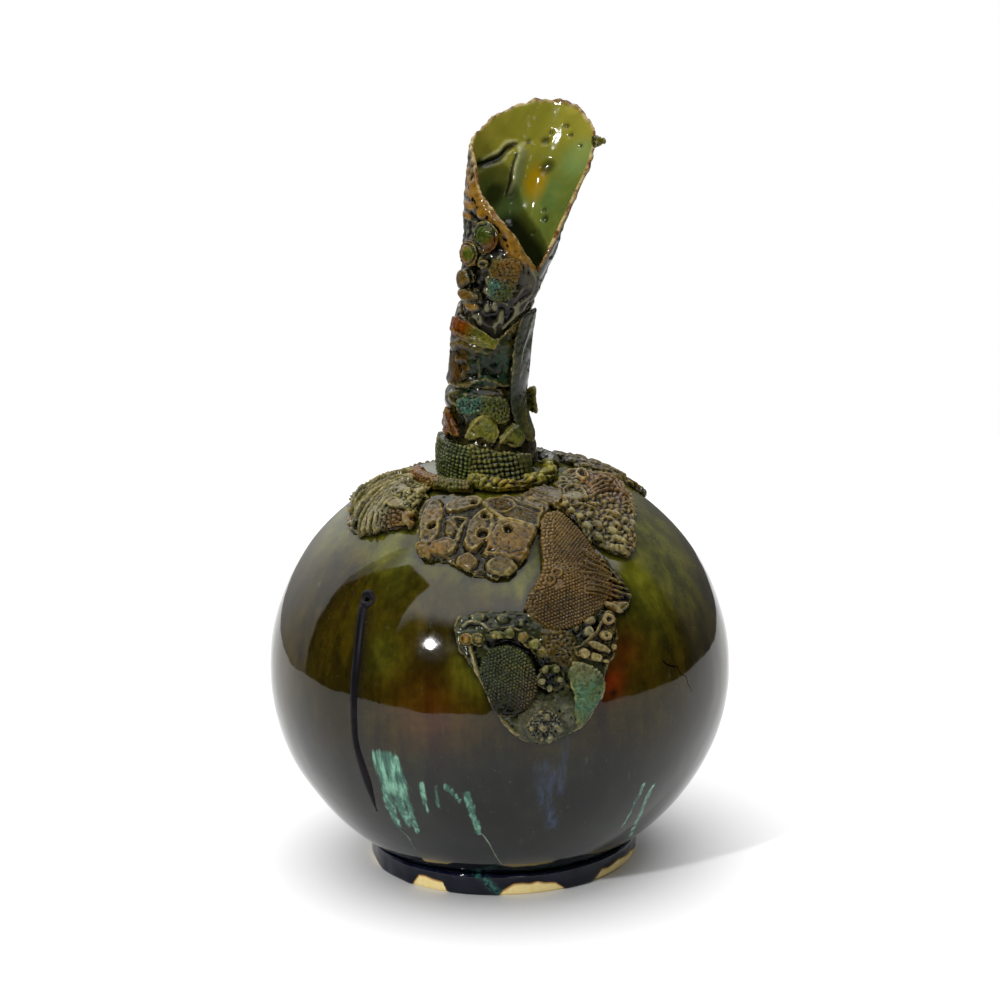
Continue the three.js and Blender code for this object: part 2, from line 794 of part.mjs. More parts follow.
lay(
  "net_coil",
  "moss",
  coil(
    globeBed(-41, 38),
    [
      [-21, 5],
      [-14, 0],
      [-5, -3],
      [8, -4],
      [18, -1],
    ],
    {},
  ),
);
lay(
  "crown_coil",
  "sand",
  coil(
    globeBed(22, 35),
    [
      [-22, 9],
      [-18, 0],
      [-10, -5],
      [0, -5],
      [9, -1],
      [17, 7],
      [21, 18],
    ],
    {},
  ),
);
lay(
  "side_coil",
  "moss",
  coil(
    globeBed(100, 29),
    [
      [-11, 2],
      [0, 0],
      [11, 2],
      [20, 8],
      [26, 17],
    ],
    {},
  ),
);
globeSlab("cloth_fold", "bark", 27, 54, [
  [-11, 2],
  [-4, 8],
  [5, 8],
  [10, 3],
  [8, -4],
  [1, -9],
  [-6, -5],
]);
globeSlab("ribbed_slab", "bark", 9, 64, [
  [-14, 9],
  [-6, 12],
  [4, 12],
  [17, 3],
  [13, -5],
  [9, -13],
  [1, -10],
  [-8, -6],
  [-14, 0],
]);
globeSlab("cell_slab", "bark", -9, 76, [
  [-22, 28],
  [-27, 16],
  [-26, 2],
  [-25, -11],
  [-20, -16],
  [-9, -17],
  [-1, -22],
  [8, -25],
  [18, -25],
  [24, -18],
  [28, -5],
  [28, 6],
  [14, 10],
  [2, 21],
  [-12, 27],
]);
globeSlab("feather_slab", "sand", -60, 62, [
  [3, -25],
  [-9, -21],
  [-19, -16],
  [-28, -9],
  [-35, 0],
  [-34, 12],
  [-25, 23],
  [-8, 26],
  [8, 20],
  [20, 8],
  [27, -4],
  [30, -8],
  [22, -13],
  [13, -21],
]);
globeSlab("scale_slab", "moss", 48, 70, [
  [-18, 1],
  [-17, 11],
  [-8, 23],
  [8, 32],
  [22, 33],
  [33, 24],
  [34, 9],
  [24, -4],
  [12, -14],
  [5, -23],
  [-6, -30],
  [-12, -24],
  [-20, -13],
]);
globeSlab("snakeskin_slab", "bark", 21, 102, [
  [2, 36],
  [8, 35],
  [11, 27],
  [14, 18],
  [17, 8],
  [20, -2],
  [19, -13],
  [14, -20],
  [5, -25],
  [-5, -29],
  [-15, -28],
  [-22, -20],
  [-24, -13],
  [-18, -6],
  [-12, 0],
  [-9, 10],
  [-7, 20],
  [-4, 29],
]);
globeSlab("frill_slab", "amber", 34, 112, [
  [-6, 20],
  [0, 15],
  [3, 7],
  [6, 0],
  [7.6, -8],
  [1, -14],
  [-5, -14],
  [-9, -9],
  [-14, 0],
  [-10, 12],
]);
globeSlab(
  "shield_slab",
  "jade",
  10,
  153,
  [
    [-35, 33],
    [-39, 26],
    [-37, 16],
    [-31, 7],
    [-26, -5],
    [-22, -16],
    [-17, -24],
    [-10, -31],
    [-2, -34],
    [7, -32],
    [16, -27],
    [23, -20],
    [28, -10],
    [32, 3],
    [36, 18],
    [38, 30],
    [22, 32],
    [0, 32],
    [-18, 34],
  ],
  { thickness: SHIELD_THICKNESS, sides: 32 },
);

// Sprigs lie on the shield, and only butt against each other and the slabs beside it.
const ON_SHIELD = SLIP + SHIELD_THICKNESS + SLIP;

function shieldSprig(name, glaze, azimuth, drop, outline, options) {
  const sprig = { thickness: SPRIG_THICKNESS, lift: ON_SHIELD, sides: 18, ...options };
  lay(name, glaze, slab(globeBed(azimuth, drop), outline, sprig), "shield_slab");
}

shieldSprig("rosette_upper", "moss", 13, 156, oval(6.2, 6.2), { dome: 0.8, sides: 14 });
shieldSprig("rosette_lower", "sand", 10, 177, oval(7.8, 7.8), { dome: 0.8, sides: 14 });
shieldSprig("net_disc", "moss", 2, 154, [
  [-12, 9],
  [-6, 16],
  [1, 16],
  [8, 12],
  [12, 4],
  [12, -6],
  [8, -13],
  [1, -17],
  [-5, -16],
  [-9, -7],
  [-12, 1],
]);
shieldSprig(
  "petal_slab",
  "jade",
  19,
  161,
  [
    [-4, 13],
    [3, 12],
    [8, 8],
    [11, 2],
    [8, -5],
    [3, -12],
    [-3, -18],
    [-4, -10],
    [-4, -3],
    [-6, 6],
  ],
  { dome: 0.6 },
);
shieldSprig("brick_band", "sand", 24, 140, [
  [-12, -1],
  [-7, 1],
  [0, 5],
  [6, 12],
  [11, 15],
  [12, 7],
  [9, -3],
  [5, -10],
  [-1, -8],
  [-7, -6],
]);
lay(
  "bead_arc",
  "moss",
  strip(
    globeBed(6, 137),
    [
      [-15, 6.6, 2.2],
      [-8, 6.4, 2.4],
      [-1, 4.4, 2.4],
      [4, 0, 2.4],
      [8, -7, 2.2],
    ],
    { thickness: SPRIG_THICKNESS, lift: ON_SHIELD, steps: 12 },
  ),
  "shield_slab",
);
shieldSprig("knob_left", "sand", -9, 133, oval(2.9, 2.9), { dome: 0.8, sides: 10 });
shieldSprig("knob_right", "sand", -5, 134, oval(2.9, 2.9), { dome: 0.8, sides: 10 });

// The back of the collar: slabs pressed with a few ribs across them.

// A slab with ribs that lie across it side by side: how many, how long and turned how far. They are
// rooted in the middle of its thickness.
function ribbed(bed, outline, { ribs, length, turn }) {
  const plain = slab(bed, outline, { thickness: BACK_SLAB_THICKNESS });
  const middle = new THREE.Vector2();
  const root = BACK_SLAB_THICKNESS / 2;
  const sizes = { lift: SLIP + root, thickness: root + RIB_RISE, steps: 4, across: 1 };
  const strips = Array.from({ length: ribs }, (_, i) => {
    const across = (i - (ribs - 1) / 2) * RIB_PITCH;
    const half = (length / 2) * Math.sqrt(1 - ((2 * i + 1 - ribs) / (ribs + 1)) ** 2);
    const line = [-half, 0, half].map((along) => {
      const spot = new THREE.Vector2(along, across).rotateAround(middle, radians(turn));
      return [...spot.toArray(), RIB_HALF_WIDTH];
    });
    return strip(bed, line, sizes);
  });
  return (room) => strips.reduce((solid, rib) => solid.add(rib(room)), plain(room));
}

const backSlabs = [
  {
    name: "back_slab_right",
    glaze: "bark",
    bed: globeBed(122, 58),
    outline: [
      [-20, 14],
      [-4, 19],
      [14, 19],
      [26, 6],
      [21, -14],
      [6, -27],
      [-14, -31],
      [-23, -18],
      [-22, 0],
    ],
    pattern: { ribs: 4, length: 38, turn: 70 },
  },
  {
    name: "back_slab_middle",
    glaze: "moss",
    bed: globeBed(174, 62),
    outline: [
      [-20, 20],
      [2, 26],
      [20, 20],
      [26, 0],
      [18, -18],
      [0, -26],
      [-18, -20],
      [-26, -2],
    ],
    pattern: { ribs: 4, length: 38, turn: 15 },
  },
  {
    name: "back_slab_left",
    glaze: "sand",
    bed: globeBed(-150, 92),
    outline: [
      [-22, 10],
      [-12, 22],
      [8, 24],
      [24, 14],
      [26, -4],
      [12, -20],
      [-8, -24],
      [-22, -12],
    ],
    pattern: { ribs: 4, length: 38, turn: -60 },
  },
];
for (const { name, glaze, bed, outline, pattern } of backSlabs) {
  lay(name, glaze, ribbed(bed, outline, pattern));
}

export default vase;
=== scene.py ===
import math

import bmesh
import bpy
import numpy as np
from mathutils import Matrix, Vector
from mathutils.kdtree import KDTree


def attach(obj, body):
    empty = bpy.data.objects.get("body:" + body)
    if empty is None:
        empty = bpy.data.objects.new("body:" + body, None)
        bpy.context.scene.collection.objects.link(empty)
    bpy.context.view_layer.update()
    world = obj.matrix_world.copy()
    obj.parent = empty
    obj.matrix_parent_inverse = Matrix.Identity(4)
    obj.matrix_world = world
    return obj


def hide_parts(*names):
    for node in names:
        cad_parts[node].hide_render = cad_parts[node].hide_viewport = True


# The looks of the stoneware bottle vase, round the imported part. Blender's own measures are metres.
# Shapes are worked out in millimetres in the part's frame: +Z is up and the vase's front is -Y.
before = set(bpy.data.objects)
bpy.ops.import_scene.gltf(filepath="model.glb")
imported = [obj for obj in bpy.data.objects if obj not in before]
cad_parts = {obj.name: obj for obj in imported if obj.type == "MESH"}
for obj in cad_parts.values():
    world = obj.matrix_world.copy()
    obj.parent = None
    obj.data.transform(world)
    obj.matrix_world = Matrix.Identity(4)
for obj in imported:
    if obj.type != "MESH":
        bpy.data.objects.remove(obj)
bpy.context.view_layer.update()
MM = 0.001

# Camera: the photograph's own place and angle. Sights are through pixels of its 1000 x 1000 frame.
FRAME_PIXELS = 1000
FOCAL_PIXELS = 2859.6
SENSOR_MM = 36
CAMERA_AT = np.array((2.33, -1434.46, 541.53))
CAMERA_DIP = math.radians(13.76)
CAMERA_ROLL = math.radians(1.4)

forward = np.array((0, math.cos(CAMERA_DIP), -math.sin(CAMERA_DIP)))
level_up = np.array((0, math.sin(CAMERA_DIP), math.cos(CAMERA_DIP)))
level_right = np.array((1.0, 0, 0))
frame_up = math.cos(CAMERA_ROLL) * level_up + math.sin(CAMERA_ROLL) * level_right
frame_right = math.cos(CAMERA_ROLL) * level_right - math.sin(CAMERA_ROLL) * level_up

camera = bpy.data.objects.new("camera", bpy.data.cameras.new("camera"))
camera.data.sensor_width = SENSOR_MM
camera.data.lens = SENSOR_MM * FOCAL_PIXELS / FRAME_PIXELS
camera.data.clip_end = 100
turned = Matrix([Vector(axis) for axis in (frame_right, frame_up, -forward)]).transposed()
camera.matrix_world = Matrix.Translation(Vector(CAMERA_AT * MM)) @ turned.to_4x4()
bpy.context.scene.collection.objects.link(camera)
bpy.context.scene.camera = camera


def sight(px, py):
    """The direction from the camera through a pixel of the photograph."""
    middle = FRAME_PIXELS / 2
    ray = forward * FOCAL_PIXELS + frame_right * (px - middle) - frame_up * (py - middle)
    return ray / np.linalg.norm(ray)


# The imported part's own measures, in mm. The neck's heights are over the crown.
GLOBE_HALVES = np.array((120.0, 120.0, 111.0))
GLOBE_MEAN = 115.5
GLOBE_WALL = 6
BELLY = 103
BELLY_POINT = np.array((0, 0, BELLY))
FOOT_RECESS = 5
FLOOR_TOP = 13
MOUTH = 13
CROWN = 214
CROWN_DIP = 5
CROWN_DIP_START = 22
CROWN_DIP_END = 62
FOOT_RADIUS = 69.5
FOOT_WALL = 10
FOOT_HEIGHT = 12.5
NECK_HEIGHTS = (-6, 14, 30, 50, 70, 91, 110, 130, 150, 181)
NECK_RIGHT = (-1, -2.6, -4.8, -2.6, 0, 6.2, 11.2, 15.6, 22.6, 28.4)
NECK_BACK = (0, 0, 0, 0, 0, 0.5, 2, 4, 6, 10)
TUBE_RADIUS = 21
SLEEVE_RADIUS = 19.4
SCOOP_HEIGHTS = (74, 91, 101, 121, 141, 161, 181)
SCOOP_RADII = (19.4, 20.4, 22.5, 24.5, 27.7, 30.4, 31)
SCOOP_WALL = 3

# The face of a slab is about this many mm over the globe.
SLAB_LIFT = 3.0

# About how far the camera stands from the neck, which is where the search along a sight starts.
NECK_DISTANCE = 1430.0
SEARCH_STEPS = 6

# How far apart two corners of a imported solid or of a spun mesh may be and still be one.
WELD = 0.01 * MM


def smooth(value, low, high):
    """0 below low, 1 above high, and an even rise between."""
    share = np.clip((value - low) / (high - low), 0, 1)
    return share * share * (3 - 2 * share)


def unit(vectors):
    return vectors / (np.linalg.norm(vectors, axis=-1, keepdims=True) + 1e-12)


class GlobeBed:
    """The globe's side as a flat bed: mm right and up of a spot at an azimuth, mm down from the crown."""

    def __init__(self, azimuth, drop):
        a, p = math.radians(azimuth), drop / GLOBE_MEAN
        self.out = np.array((math.sin(p) * math.sin(a), -math.sin(p) * math.cos(a), math.cos(p)))
        self.right = np.array((math.cos(a), math.sin(a), 0))
        self.up = np.cross(self.out, self.right)

    def find(self, points):
        way = unit((points - BELLY_POINT) / GLOBE_HALVES)
        turn = np.arccos(np.clip(way @ self.out, -1, 1)) * GLOBE_MEAN
        right, up = way @ self.right, way @ self.up
        span = np.hypot(right, up) + 1e-9
        return turn * right / span, turn * up / span

    def normal(self, points):
        return unit((points - BELLY_POINT) / GLOBE_HALVES**2)

    def hit(self, px, py, lift=SLAB_LIFT):
        """The point some mm over the globe that a pixel of the photograph shows."""
        halves = GLOBE_HALVES + lift
        start, way = (CAMERA_AT - BELLY_POINT) / halves, sight(px, py) / halves
        a, b, c = way @ way, start @ way, start @ start - 1
        distance = (-b - math.sqrt(max(0.0, b * b - a * c))) / a
        return CAMERA_AT + distance * sight(px, py)

    def seen(self, px, py):
        x, y = self.find(self.hit(px, py)[None, :])
        return float(x[0]), float(y[0])


def neck_middle(height):
    right = np.interp(height, NECK_HEIGHTS, NECK_RIGHT)
    back = np.interp(height, NECK_HEIGHTS, NECK_BACK)
    return np.stack((right, back, height + CROWN), axis=-1)


# Which side of the neck a pixel is taken to show: its outside in front, or its inside behind.
NEAR_SIDE = -1
FAR_SIDE = 1


class NeckBed(GlobeBed):
    """The neck's side as a flat bed: mm right round and mm up from an azimuth and a height on the neck."""

    def __init__(self, azimuth, height, radius, side=NEAR_SIDE):
        self.azimuth, self.height = azimuth, height
        self.radius, self.side = radius, side

    def find(self, points):
        height = points[:, 2] - CROWN
        out = points - neck_middle(height)
        around = np.degrees(np.arctan2(out[:, 0], -out[:, 1])) - self.azimuth
        around = (around + 180) % 360 - 180
        return np.radians(around) * self.radius(self.height), height - self.height

    def normal(self, points):
        return unit(points - neck_middle(points[:, 2] - CROWN))

    def hit(self, px, py):
        """The point of the neck's near or far side that a pixel of the photograph shows."""
        way = sight(px, py)
        distance = NECK_DISTANCE
        for _ in range(SEARCH_STEPS):
            height = (CAMERA_AT + distance * way)[2] - CROWN
            middle, radius = neck_middle(height), self.radius(height)
            flat, start = way[:2], CAMERA_AT[:2] - middle[:2]
            a, b, c = flat @ flat, start @ flat, start @ start - radius**2
            distance = (-b + self.side * math.sqrt(max(0.0, b * b - a * c))) / a
        return CAMERA_AT + distance * way


def tube_radius(height):
    return TUBE_RADIUS


def sleeve_radius(height):
    return SLEEVE_RADIUS


def scoop_radius(height):
    return float(np.interp(height, SCOOP_HEIGHTS, SCOOP_RADII))


def scoop_hollow(height):
    return scoop_radius(height) - SCOOP_WALL


# Patterns, worked out at each point of a fine mesh

# How many cells the tables of random numbers have to a side, and how many cells the finer waves of a
# grain are moved from the wider ones.
GRAIN_CELLS = 32
GRAIN_SHIFT = 7.3
PEBBLE_CELLS = 64


def grain(points, size, seed, octaves=2):
    """Even random waves from 0 to 1 of a size in mm, at points in mm."""
    table = np.random.default_rng(seed).random((GRAIN_CELLS,) * 3)
    total, weight = 0.0, 0.0
    for octave in range(octaves):
        place = points * 2**octave / size + GRAIN_SHIFT * octave
        cell = np.floor(place).astype(int)
        share = place - cell
        share = share * share * (3 - 2 * share)
        value = 0.0
        for corner in range(8):
            step = np.array((corner & 1, corner >> 1 & 1, corner >> 2))
            near = np.where(step, share, 1 - share).prod(axis=1)
            i, j, k = ((cell + step) % GRAIN_CELLS).T
            value = value + near * table[i, j, k]
        total, weight = total + value / 2**octave, weight + 1 / 2**octave
    return total / weight


def turned_by(x, y, degrees):
    """A place on a bed, read along axes that lean so many degrees to the left."""
    c, s = math.cos(math.radians(degrees)), math.sin(math.radians(degrees))
    return x * c + y * s, y * c - x * s


def pebbling(x, y, pitch, seed, jitter=0.7, stretch=1.0, turn=0.0):
    """Distances to the nearest and the next pebble of many in uneven rows, in pitches."""
    u, v = turned_by(x, y, turn)
    u, v = u / (pitch * stretch), v / pitch
    table = np.random.default_rng(seed).random((PEBBLE_CELLS, PEBBLE_CELLS, 2)) - 0.5
    i, j = np.floor(u).astype(int), np.floor(v).astype(int)
    first, second = np.full(x.shape, 9.0), np.full(x.shape, 9.0)
    for di in (-1, 0, 1):
        for dj in (-1, 0, 1):
            shift = table[(i + di) % PEBBLE_CELLS, (j + dj) % PEBBLE_CELLS] * jitter
            row = 0.5 * ((j + dj) % 2)
            gap = np.hypot(i + di + row + shift[:, 0] - u + 0.25, j + dj + 0.5 + shift[:, 1] - v)
            second = np.minimum(second, np.maximum(first, gap))
            first = np.minimum(first, gap)
    return first, second


def to_path(points, path):
    """Each point's distance to a path, how far along it that is from 0 to 1, and if it is left of it."""
    path = np.asarray(path, float)
    best = np.full(len(points), 1e9)
    share = np.zeros(len(points))
    left = np.zeros(len(points), bool)
    lengths = np.linalg.norm(np.diff(path, axis=0), axis=1)
    before = np.concatenate(([0], np.cumsum(lengths)))
    for k, length in enumerate(lengths):
        way = (path[k + 1] - path[k]) / length
        out = points - path[k]
        along = np.clip(out @ way, 0, length)
        gap = np.linalg.norm(out - along[:, None] * way, axis=1)
        nearer = gap < best
        share = np.where(nearer, (before[k] + along) / before[-1], share)
        left = np.where(nearer, way[0] * out[:, 1] > way[1] * out[:, 0], left)
        best = np.minimum(best, gap)
    return best, share, left


def rounded(path, steps=4):
    """A path with its corners rounded off."""
    path = np.asarray(path, float)
    padded = np.vstack((2 * path[0] - path[1], path, 2 * path[-1] - path[-2]))
    rows = [path[0]]
    for k in range(1, len(padded) - 2):
        before, start, end, after = padded[k - 1 : k + 3]
        for step in range(1, steps + 1):
            t = step / steps
            curve = (2 * before - 5 * start + 4 * end - after) * t**2
            twist = (3 * start - before - 3 * end + after) * t**3
            rows.append((2 * start + (end - before) * t + curve + twist) / 2)
    return np.array(rows)


# Meshes


def new_piece(name, mesh):
    piece = bpy.data.objects.new(name, mesh)
    bpy.context.scene.collection.objects.link(piece)
    return piece


def read(collection, key):
    """Rows of three numbers from all of a mesh's corners."""
    values = np.empty(len(collection) * 3, np.float32)
    collection.foreach_get(key, values)
    return values.reshape(-1, 3).astype(float)


def keep_value(mesh, name, values):
    """Keeps a number at each corner of a mesh, for its glaze to read."""
    layer = mesh.attributes.new(name, "FLOAT", "POINT")
    layer.data.foreach_set("value", np.asarray(values, np.float32))


def apply_modifiers(piece):
    """Puts the mesh that a piece's modifiers make in place of its own."""
    graph = bpy.context.evaluated_depsgraph_get()
    mesh = bpy.data.meshes.new_from_object(piece.evaluated_get(graph))
    piece.modifiers.clear()
    piece.data = mesh


def finish(piece, material, slot, *nodes):
    """Gives a piece its glaze and its place in the part."""
    piece.data.materials.clear()
    piece.data.materials.append(material)
    piece.data.shade_smooth()
    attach(piece, "root")
    if nodes:
        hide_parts(*nodes)


def fine_copy(node, voxel, rounds, levels):
    """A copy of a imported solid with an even, fine mesh and soft edges."""
    source = bmesh.new()
    source.from_mesh(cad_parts[node].data)
    bmesh.ops.remove_doubles(source, verts=source.verts, dist=WELD)
    mesh = bpy.data.meshes.new(node + "_clay")
    source.to_mesh(mesh)
    source.free()
    piece = new_piece(node + "_clay", mesh)
    if levels:
        rounder = piece.modifiers.new("round", "SUBSURF")
        rounder.levels = rounder.render_levels = levels
    even = piece.modifiers.new("even", "REMESH")
    even.mode = "VOXEL"
    even.voxel_size = voxel * MM
    soften = piece.modifiers.new("soften", "SMOOTH")
    soften.factor = 0.5
    soften.iterations = rounds
    apply_modifiers(piece)
    return piece


def evened(values, edges, rounds):
    """Rows of values at a mesh's corners, evened out along its edges."""
    ends = edges.T
    near = np.maximum(np.bincount(edges.ravel(), minlength=len(values)), 1)[:, None]
    for _ in range(rounds):
        sums = []
        for column in values.T:
            one_way = np.bincount(ends[0], column[ends[1]], len(values))
            sums.append(one_way + np.bincount(ends[1], column[ends[0]], len(values)))
        values = np.stack(sums, axis=1) / near
    return values


# What has been laid on so far, as every seventh point in mm: the globe's glaze pools round it,
# and a shadow is painted round it.
laid_points = []
POINTS_THINNED = 7

# A pattern is 0 on the relief's scale where it lies this deep in mm, and the bulge of a mesh is 1
# where it stands this many mm over its surroundings.
PIT = 0.8
BULGE = 0.28

# A part of a pattern that stands up less than this, in mm, isn't pressed at all.
LEAST_RISE = 0.12

# The thin ring round a cell of clay, as a share of the cell.
CELL_RING = 0.13


class Clay:
    """A piece of clay on its bed as a fine mesh: x and y are mm there, height is what is pressed up."""

    def __init__(self, node, bed, voxel=0.5, rounds=3, levels=0, waver=1.4):
        """Voxel is the mesh's step in mm, rounds how often it is softened, levels how often it is
        rounded before, and waver how many mm the bed's own x and y run out of true."""
        self.node = node
        self.piece = fine_copy(node, voxel, rounds, levels)
        self.points = read(self.piece.data.vertices, "co") / MM
        self.normals = read(self.piece.data.vertex_normals, "vector")
        self.lay(bed, waver)
        self.out = (self.normals * bed.normal(self.points)).sum(axis=1)
        self.facing = smooth(self.out, 0.1, 0.6)
        self.vary = grain(self.points, 3.5, seed=73)
        self.height = np.zeros(len(self.x))
        self.shift = np.zeros((len(self.x), 3))
        self.warm = np.zeros(len(self.x))
        self.cool = np.zeros(len(self.x))
        self.pale = np.zeros(len(self.x))

    def lay(self, bed, waver=0.0):
        """Finds where the clay's points are on a bed, a little out of true."""
        x, y = bed.find(self.points)
        x = x + waver * (grain(self.points, 4, seed=71) - 0.5)
        y = y + waver * (grain(self.points, 4, seed=72) - 0.5)
        self.bed, self.x, self.y = bed, x, y
        self.flat = np.stack((x, y), axis=1)

    def spots(self, pixels):
        return np.array([self.bed.seen(*pixel) for pixel in pixels])

    def oval(self, start, end, width):
        """0 in the middle of an oval and 1 on its edge. Its long axis joins two pixels of the photo."""
        (ax, ay), (bx, by) = self.spots((start, end))
        half = max(math.hypot(bx - ax, by - ay) / 2, 0.1)
        ux, uy = (bx - ax) / (2 * half), (by - ay) / (2 * half)
        dx, dy = self.x - (ax + bx) / 2, self.y - (ay + by) / 2
        return np.hypot((dx * ux + dy * uy) / half, (dy * ux - dx * uy) / (width / 2))

    def disc(self, middle, radius):
        (ax, ay) = self.spots((middle,))[0]
        return np.hypot(self.x - ax, self.y - ay) / radius

    def area(self, middle, radius, blur=0.5):
        """1 inside a round patch of the photo, fading over a share of its radius."""
        return smooth(self.disc(middle, radius), 1 + blur, 1 - blur)

    def path(self, *pixels):
        return to_path(self.flat, rounded(self.spots(pixels)))

    def raise_to(self, amount):
        """Raises what is lower, and leaves the ground alone where there is nothing to raise it to."""
        self.height = np.where(amount > LEAST_RISE, np.maximum(self.height, amount), self.height)

    def lump(self, rho, rise, flat=3.0, warm=0.0, cool=0.0, pale=0.0):
        """A rounded lump where rho is less than 1. It is flatter on top the higher flat is."""
        inside = np.clip(1 - rho**flat, 0, 1) ** 0.5
        self.raise_to(rise * inside)
        self.paint(smooth(rho, 1.0, 0.7), warm, cool, pale)

    def paint(self, mask, warm=0.0, cool=0.0, pale=0.0):
        self.warm = np.maximum(self.warm, warm * mask)
        self.cool = np.maximum(self.cool, cool * mask)
        self.pale = np.maximum(self.pale, pale * mask)

    def rim(self, rho, rise, width=0.18):
        self.raise_to(rise * np.exp(-(((rho - 1) / width) ** 2)))

    def sink(self, rho, depth):
        self.height -= depth * np.exp(-(rho**4))

    def ridge(self, pixels, width, rise, taper=0.0, warm=0.0, cool=0.0, pale=0.0):
        spots = rounded(self.spots(pixels))
        near = (self.flat > spots.min(axis=0) - width) & (self.flat < spots.max(axis=0) + width)
        near = near.all(axis=1)
        gap, along, _ = to_path(self.flat[near], spots)
        inside = np.zeros(len(near))
        half = width * (0.35 + 0.3 * self.vary[near]) * (1 - taper * along)
        inside[near] = np.clip(1 - (gap / half) ** 2, 0, 1) ** 0.5
        self.raise_to(rise * inside)
        self.paint(inside, warm, cool, pale)

    def groove(self, pixels, width, depth):
        gap, _, _ = self.path(*pixels)
        self.height -= depth * np.exp(-((gap / (width / 2)) ** 2))

    def lumps(self, *rows, flat=5.0, rimmed=0.0):
        """Ovals between two pixels: start, end, width in mm, rise in mm, and how warm, cool and pale."""
        for start, end, width, rise, *tints in rows:
            rho = self.oval(start, end, width)
            self.lump(rho, rise, flat, *tints)
            if rimmed:
                self.rim(rho, rise + rimmed, width=CELL_RING)

    def ridges(self, *rows):
        """Ridges along paths of pixels: width in mm, rise in mm, and how warm, cool and pale."""
        for pixels, width, rise, *tints in rows:
            self.ridge(pixels, width, rise, 0.0, *tints)

    def nested(self, pixels, step, count, width, rise, *tints):
        """Ridges side by side, each a step in pixels from the one before."""
        for i in range(count):
            shifted = [(px + i * step[0], py + i * step[1]) for px, py in pixels]
            self.ridge(shifted, width, rise, 0.3, *tints)

    def comb(self, guides, count, width, rise, *tints, seed, wobble):
        """Ridges side by side that follow the nearest of a row of guides, which are paths of pixels.
        Each starts and ends a little short of the guides, and each is of its own width and rise."""
        rng = np.random.default_rng(seed)
        guides = np.array(guides, float)
        for place in np.linspace(0, len(guides) - 1, count):
            low = min(int(place), len(guides) - 2)
            pixels = guides[low] + (guides[low + 1] - guides[low]) * (place - low)
            pixels = pixels + rng.uniform(-wobble, wobble, pixels.shape)
            pixels[0] += (pixels[1] - pixels[0]) * rng.uniform(0, 0.6)
            pixels[-1] += (pixels[-2] - pixels[-1]) * rng.uniform(0, 0.4)
            self.ridge(pixels, width * rng.uniform(0.6, 1.3), rise * rng.uniform(0.7, 1.1), 0.4, *tints)

    def beads(self, pixels, pitch, width, rise):
        """A row of beads along a path of pixels."""
        spots = rounded(self.spots(pixels))
        length = np.linalg.norm(np.diff(spots, axis=0), axis=1).sum()
        gap, along, _ = to_path(self.flat, spots)
        step = (along * length / pitch) % 1 - 0.5
        self.raise_to(rise * np.clip(1 - (2 * step * 0.95) ** 2 - (2 * gap / width) ** 2, 0, 1) ** 0.5)

    def own(self, half_width, half_height, lean=0.0):
        """As oval, for a piece's own middle, half sizes and lean to the left."""
        across, up = turned_by(self.x, self.y, lean)
        return np.hypot(across / half_width, up / half_height)

    def pebbles(self, pitch, rise, seed, jitter=0.7, stretch=1.0, turn=0.0, mask=1.0):
        first, second = pebbling(self.x, self.y, pitch, seed, jitter, stretch, turn)
        self.raise_to(rise * mask * smooth(second - first, 0.04, 0.45) * (1 - 0.5 * first**2))

    def net(self, pitch, rise, turn=45.0, warp=0.3, mask=1.0, stretch=1.0):
        """A printed net: a scale stands up in each of its meshes."""
        u, v = turned_by(self.x, self.y, turn)
        shift = (grain(self.points, 8, seed=61) - 0.5) * warp * pitch * 4
        u, v = u + shift, v - shift
        scales = np.abs(np.sin(math.pi * u / pitch) * np.sin(math.pi * v / (pitch * stretch))) ** 0.6
        self.raise_to(rise * mask * scales)

    def crumple(self, size, rise, seed, mask=1.0):
        """Adds sharp folds like those of crumpled cloth."""
        fold = smooth(np.abs(2 * grain(self.points, size, seed=seed) - 1), 0.22, 0.0)
        self.height += rise * mask * fold

    def bake(self, material, slot, base=-0.5, crest=1.6, wander=0.5, ragged=1.0, melt=2, grit=0.6):
        """Presses the pattern into the mesh as the glaze rounds it off, keeps what the glaze reads, and
        puts the piece in its place. Base lifts or sinks all of the pattern, and crest is where it is at
        its lightest, both in mm. Wander, ragged and grit are how uneven the clay, its edges and its
        skin are, and melt is how far the glaze has rounded the pattern."""
        mesh = self.piece.data
        edges = np.empty(len(mesh.edges) * 2, np.int32)
        mesh.edges.foreach_get("vertices", edges)
        edges = edges.reshape(-1, 2)
        # The glaze drowns the pattern more in some places than in others.
        height = self.height * (0.7 + 0.6 * grain(self.points, 6, seed=9))
        height = evened(height[:, None], edges, melt)[:, 0]
        uneven = (grain(self.points, 9, seed=5) - 0.5) * 1.2 * wander
        # The slab's edges are torn, which is neither its face nor its back.
        side = smooth(self.out, -0.75, -0.35) * (1 - self.facing)
        torn = (grain(self.points, 3.5, seed=6) - 0.45) * 3.2 * ragged * side
        rough = (grain(self.points, 1.9, seed=8, octaves=3) - 0.5) * grit
        moved = (height + base) * self.facing + uneven + torn + rough
        points = self.points + self.normals * moved[:, None] + self.shift
        mesh.vertices.foreach_set("co", (points * MM).astype(np.float32).ravel())
        mesh.update()
        around = evened(points, edges, 6)
        bulge = ((points - around) * read(mesh.vertex_normals, "vector")).sum(axis=1)
        keep_value(mesh, "relief", np.clip((height + PIT) / (crest + PIT), -0.2, 1.2) * self.facing)
        keep_value(mesh, "bulge", np.clip(bulge / BULGE, -1, 1))
        keep_value(mesh, "warm", self.warm)
        keep_value(mesh, "cool", self.cool)
        keep_value(mesh, "pale", self.pale)
        laid_points.append(points[::POINTS_THINNED])
        finish(self.piece, material, slot, self.node)


# Finishes


def linear(part):
    """A part of a screen colour as an amount of light, by the usual screen curve."""
    return ((part + 0.055) / 1.055) ** 2.4 if part > 0.04045 else part / 12.92


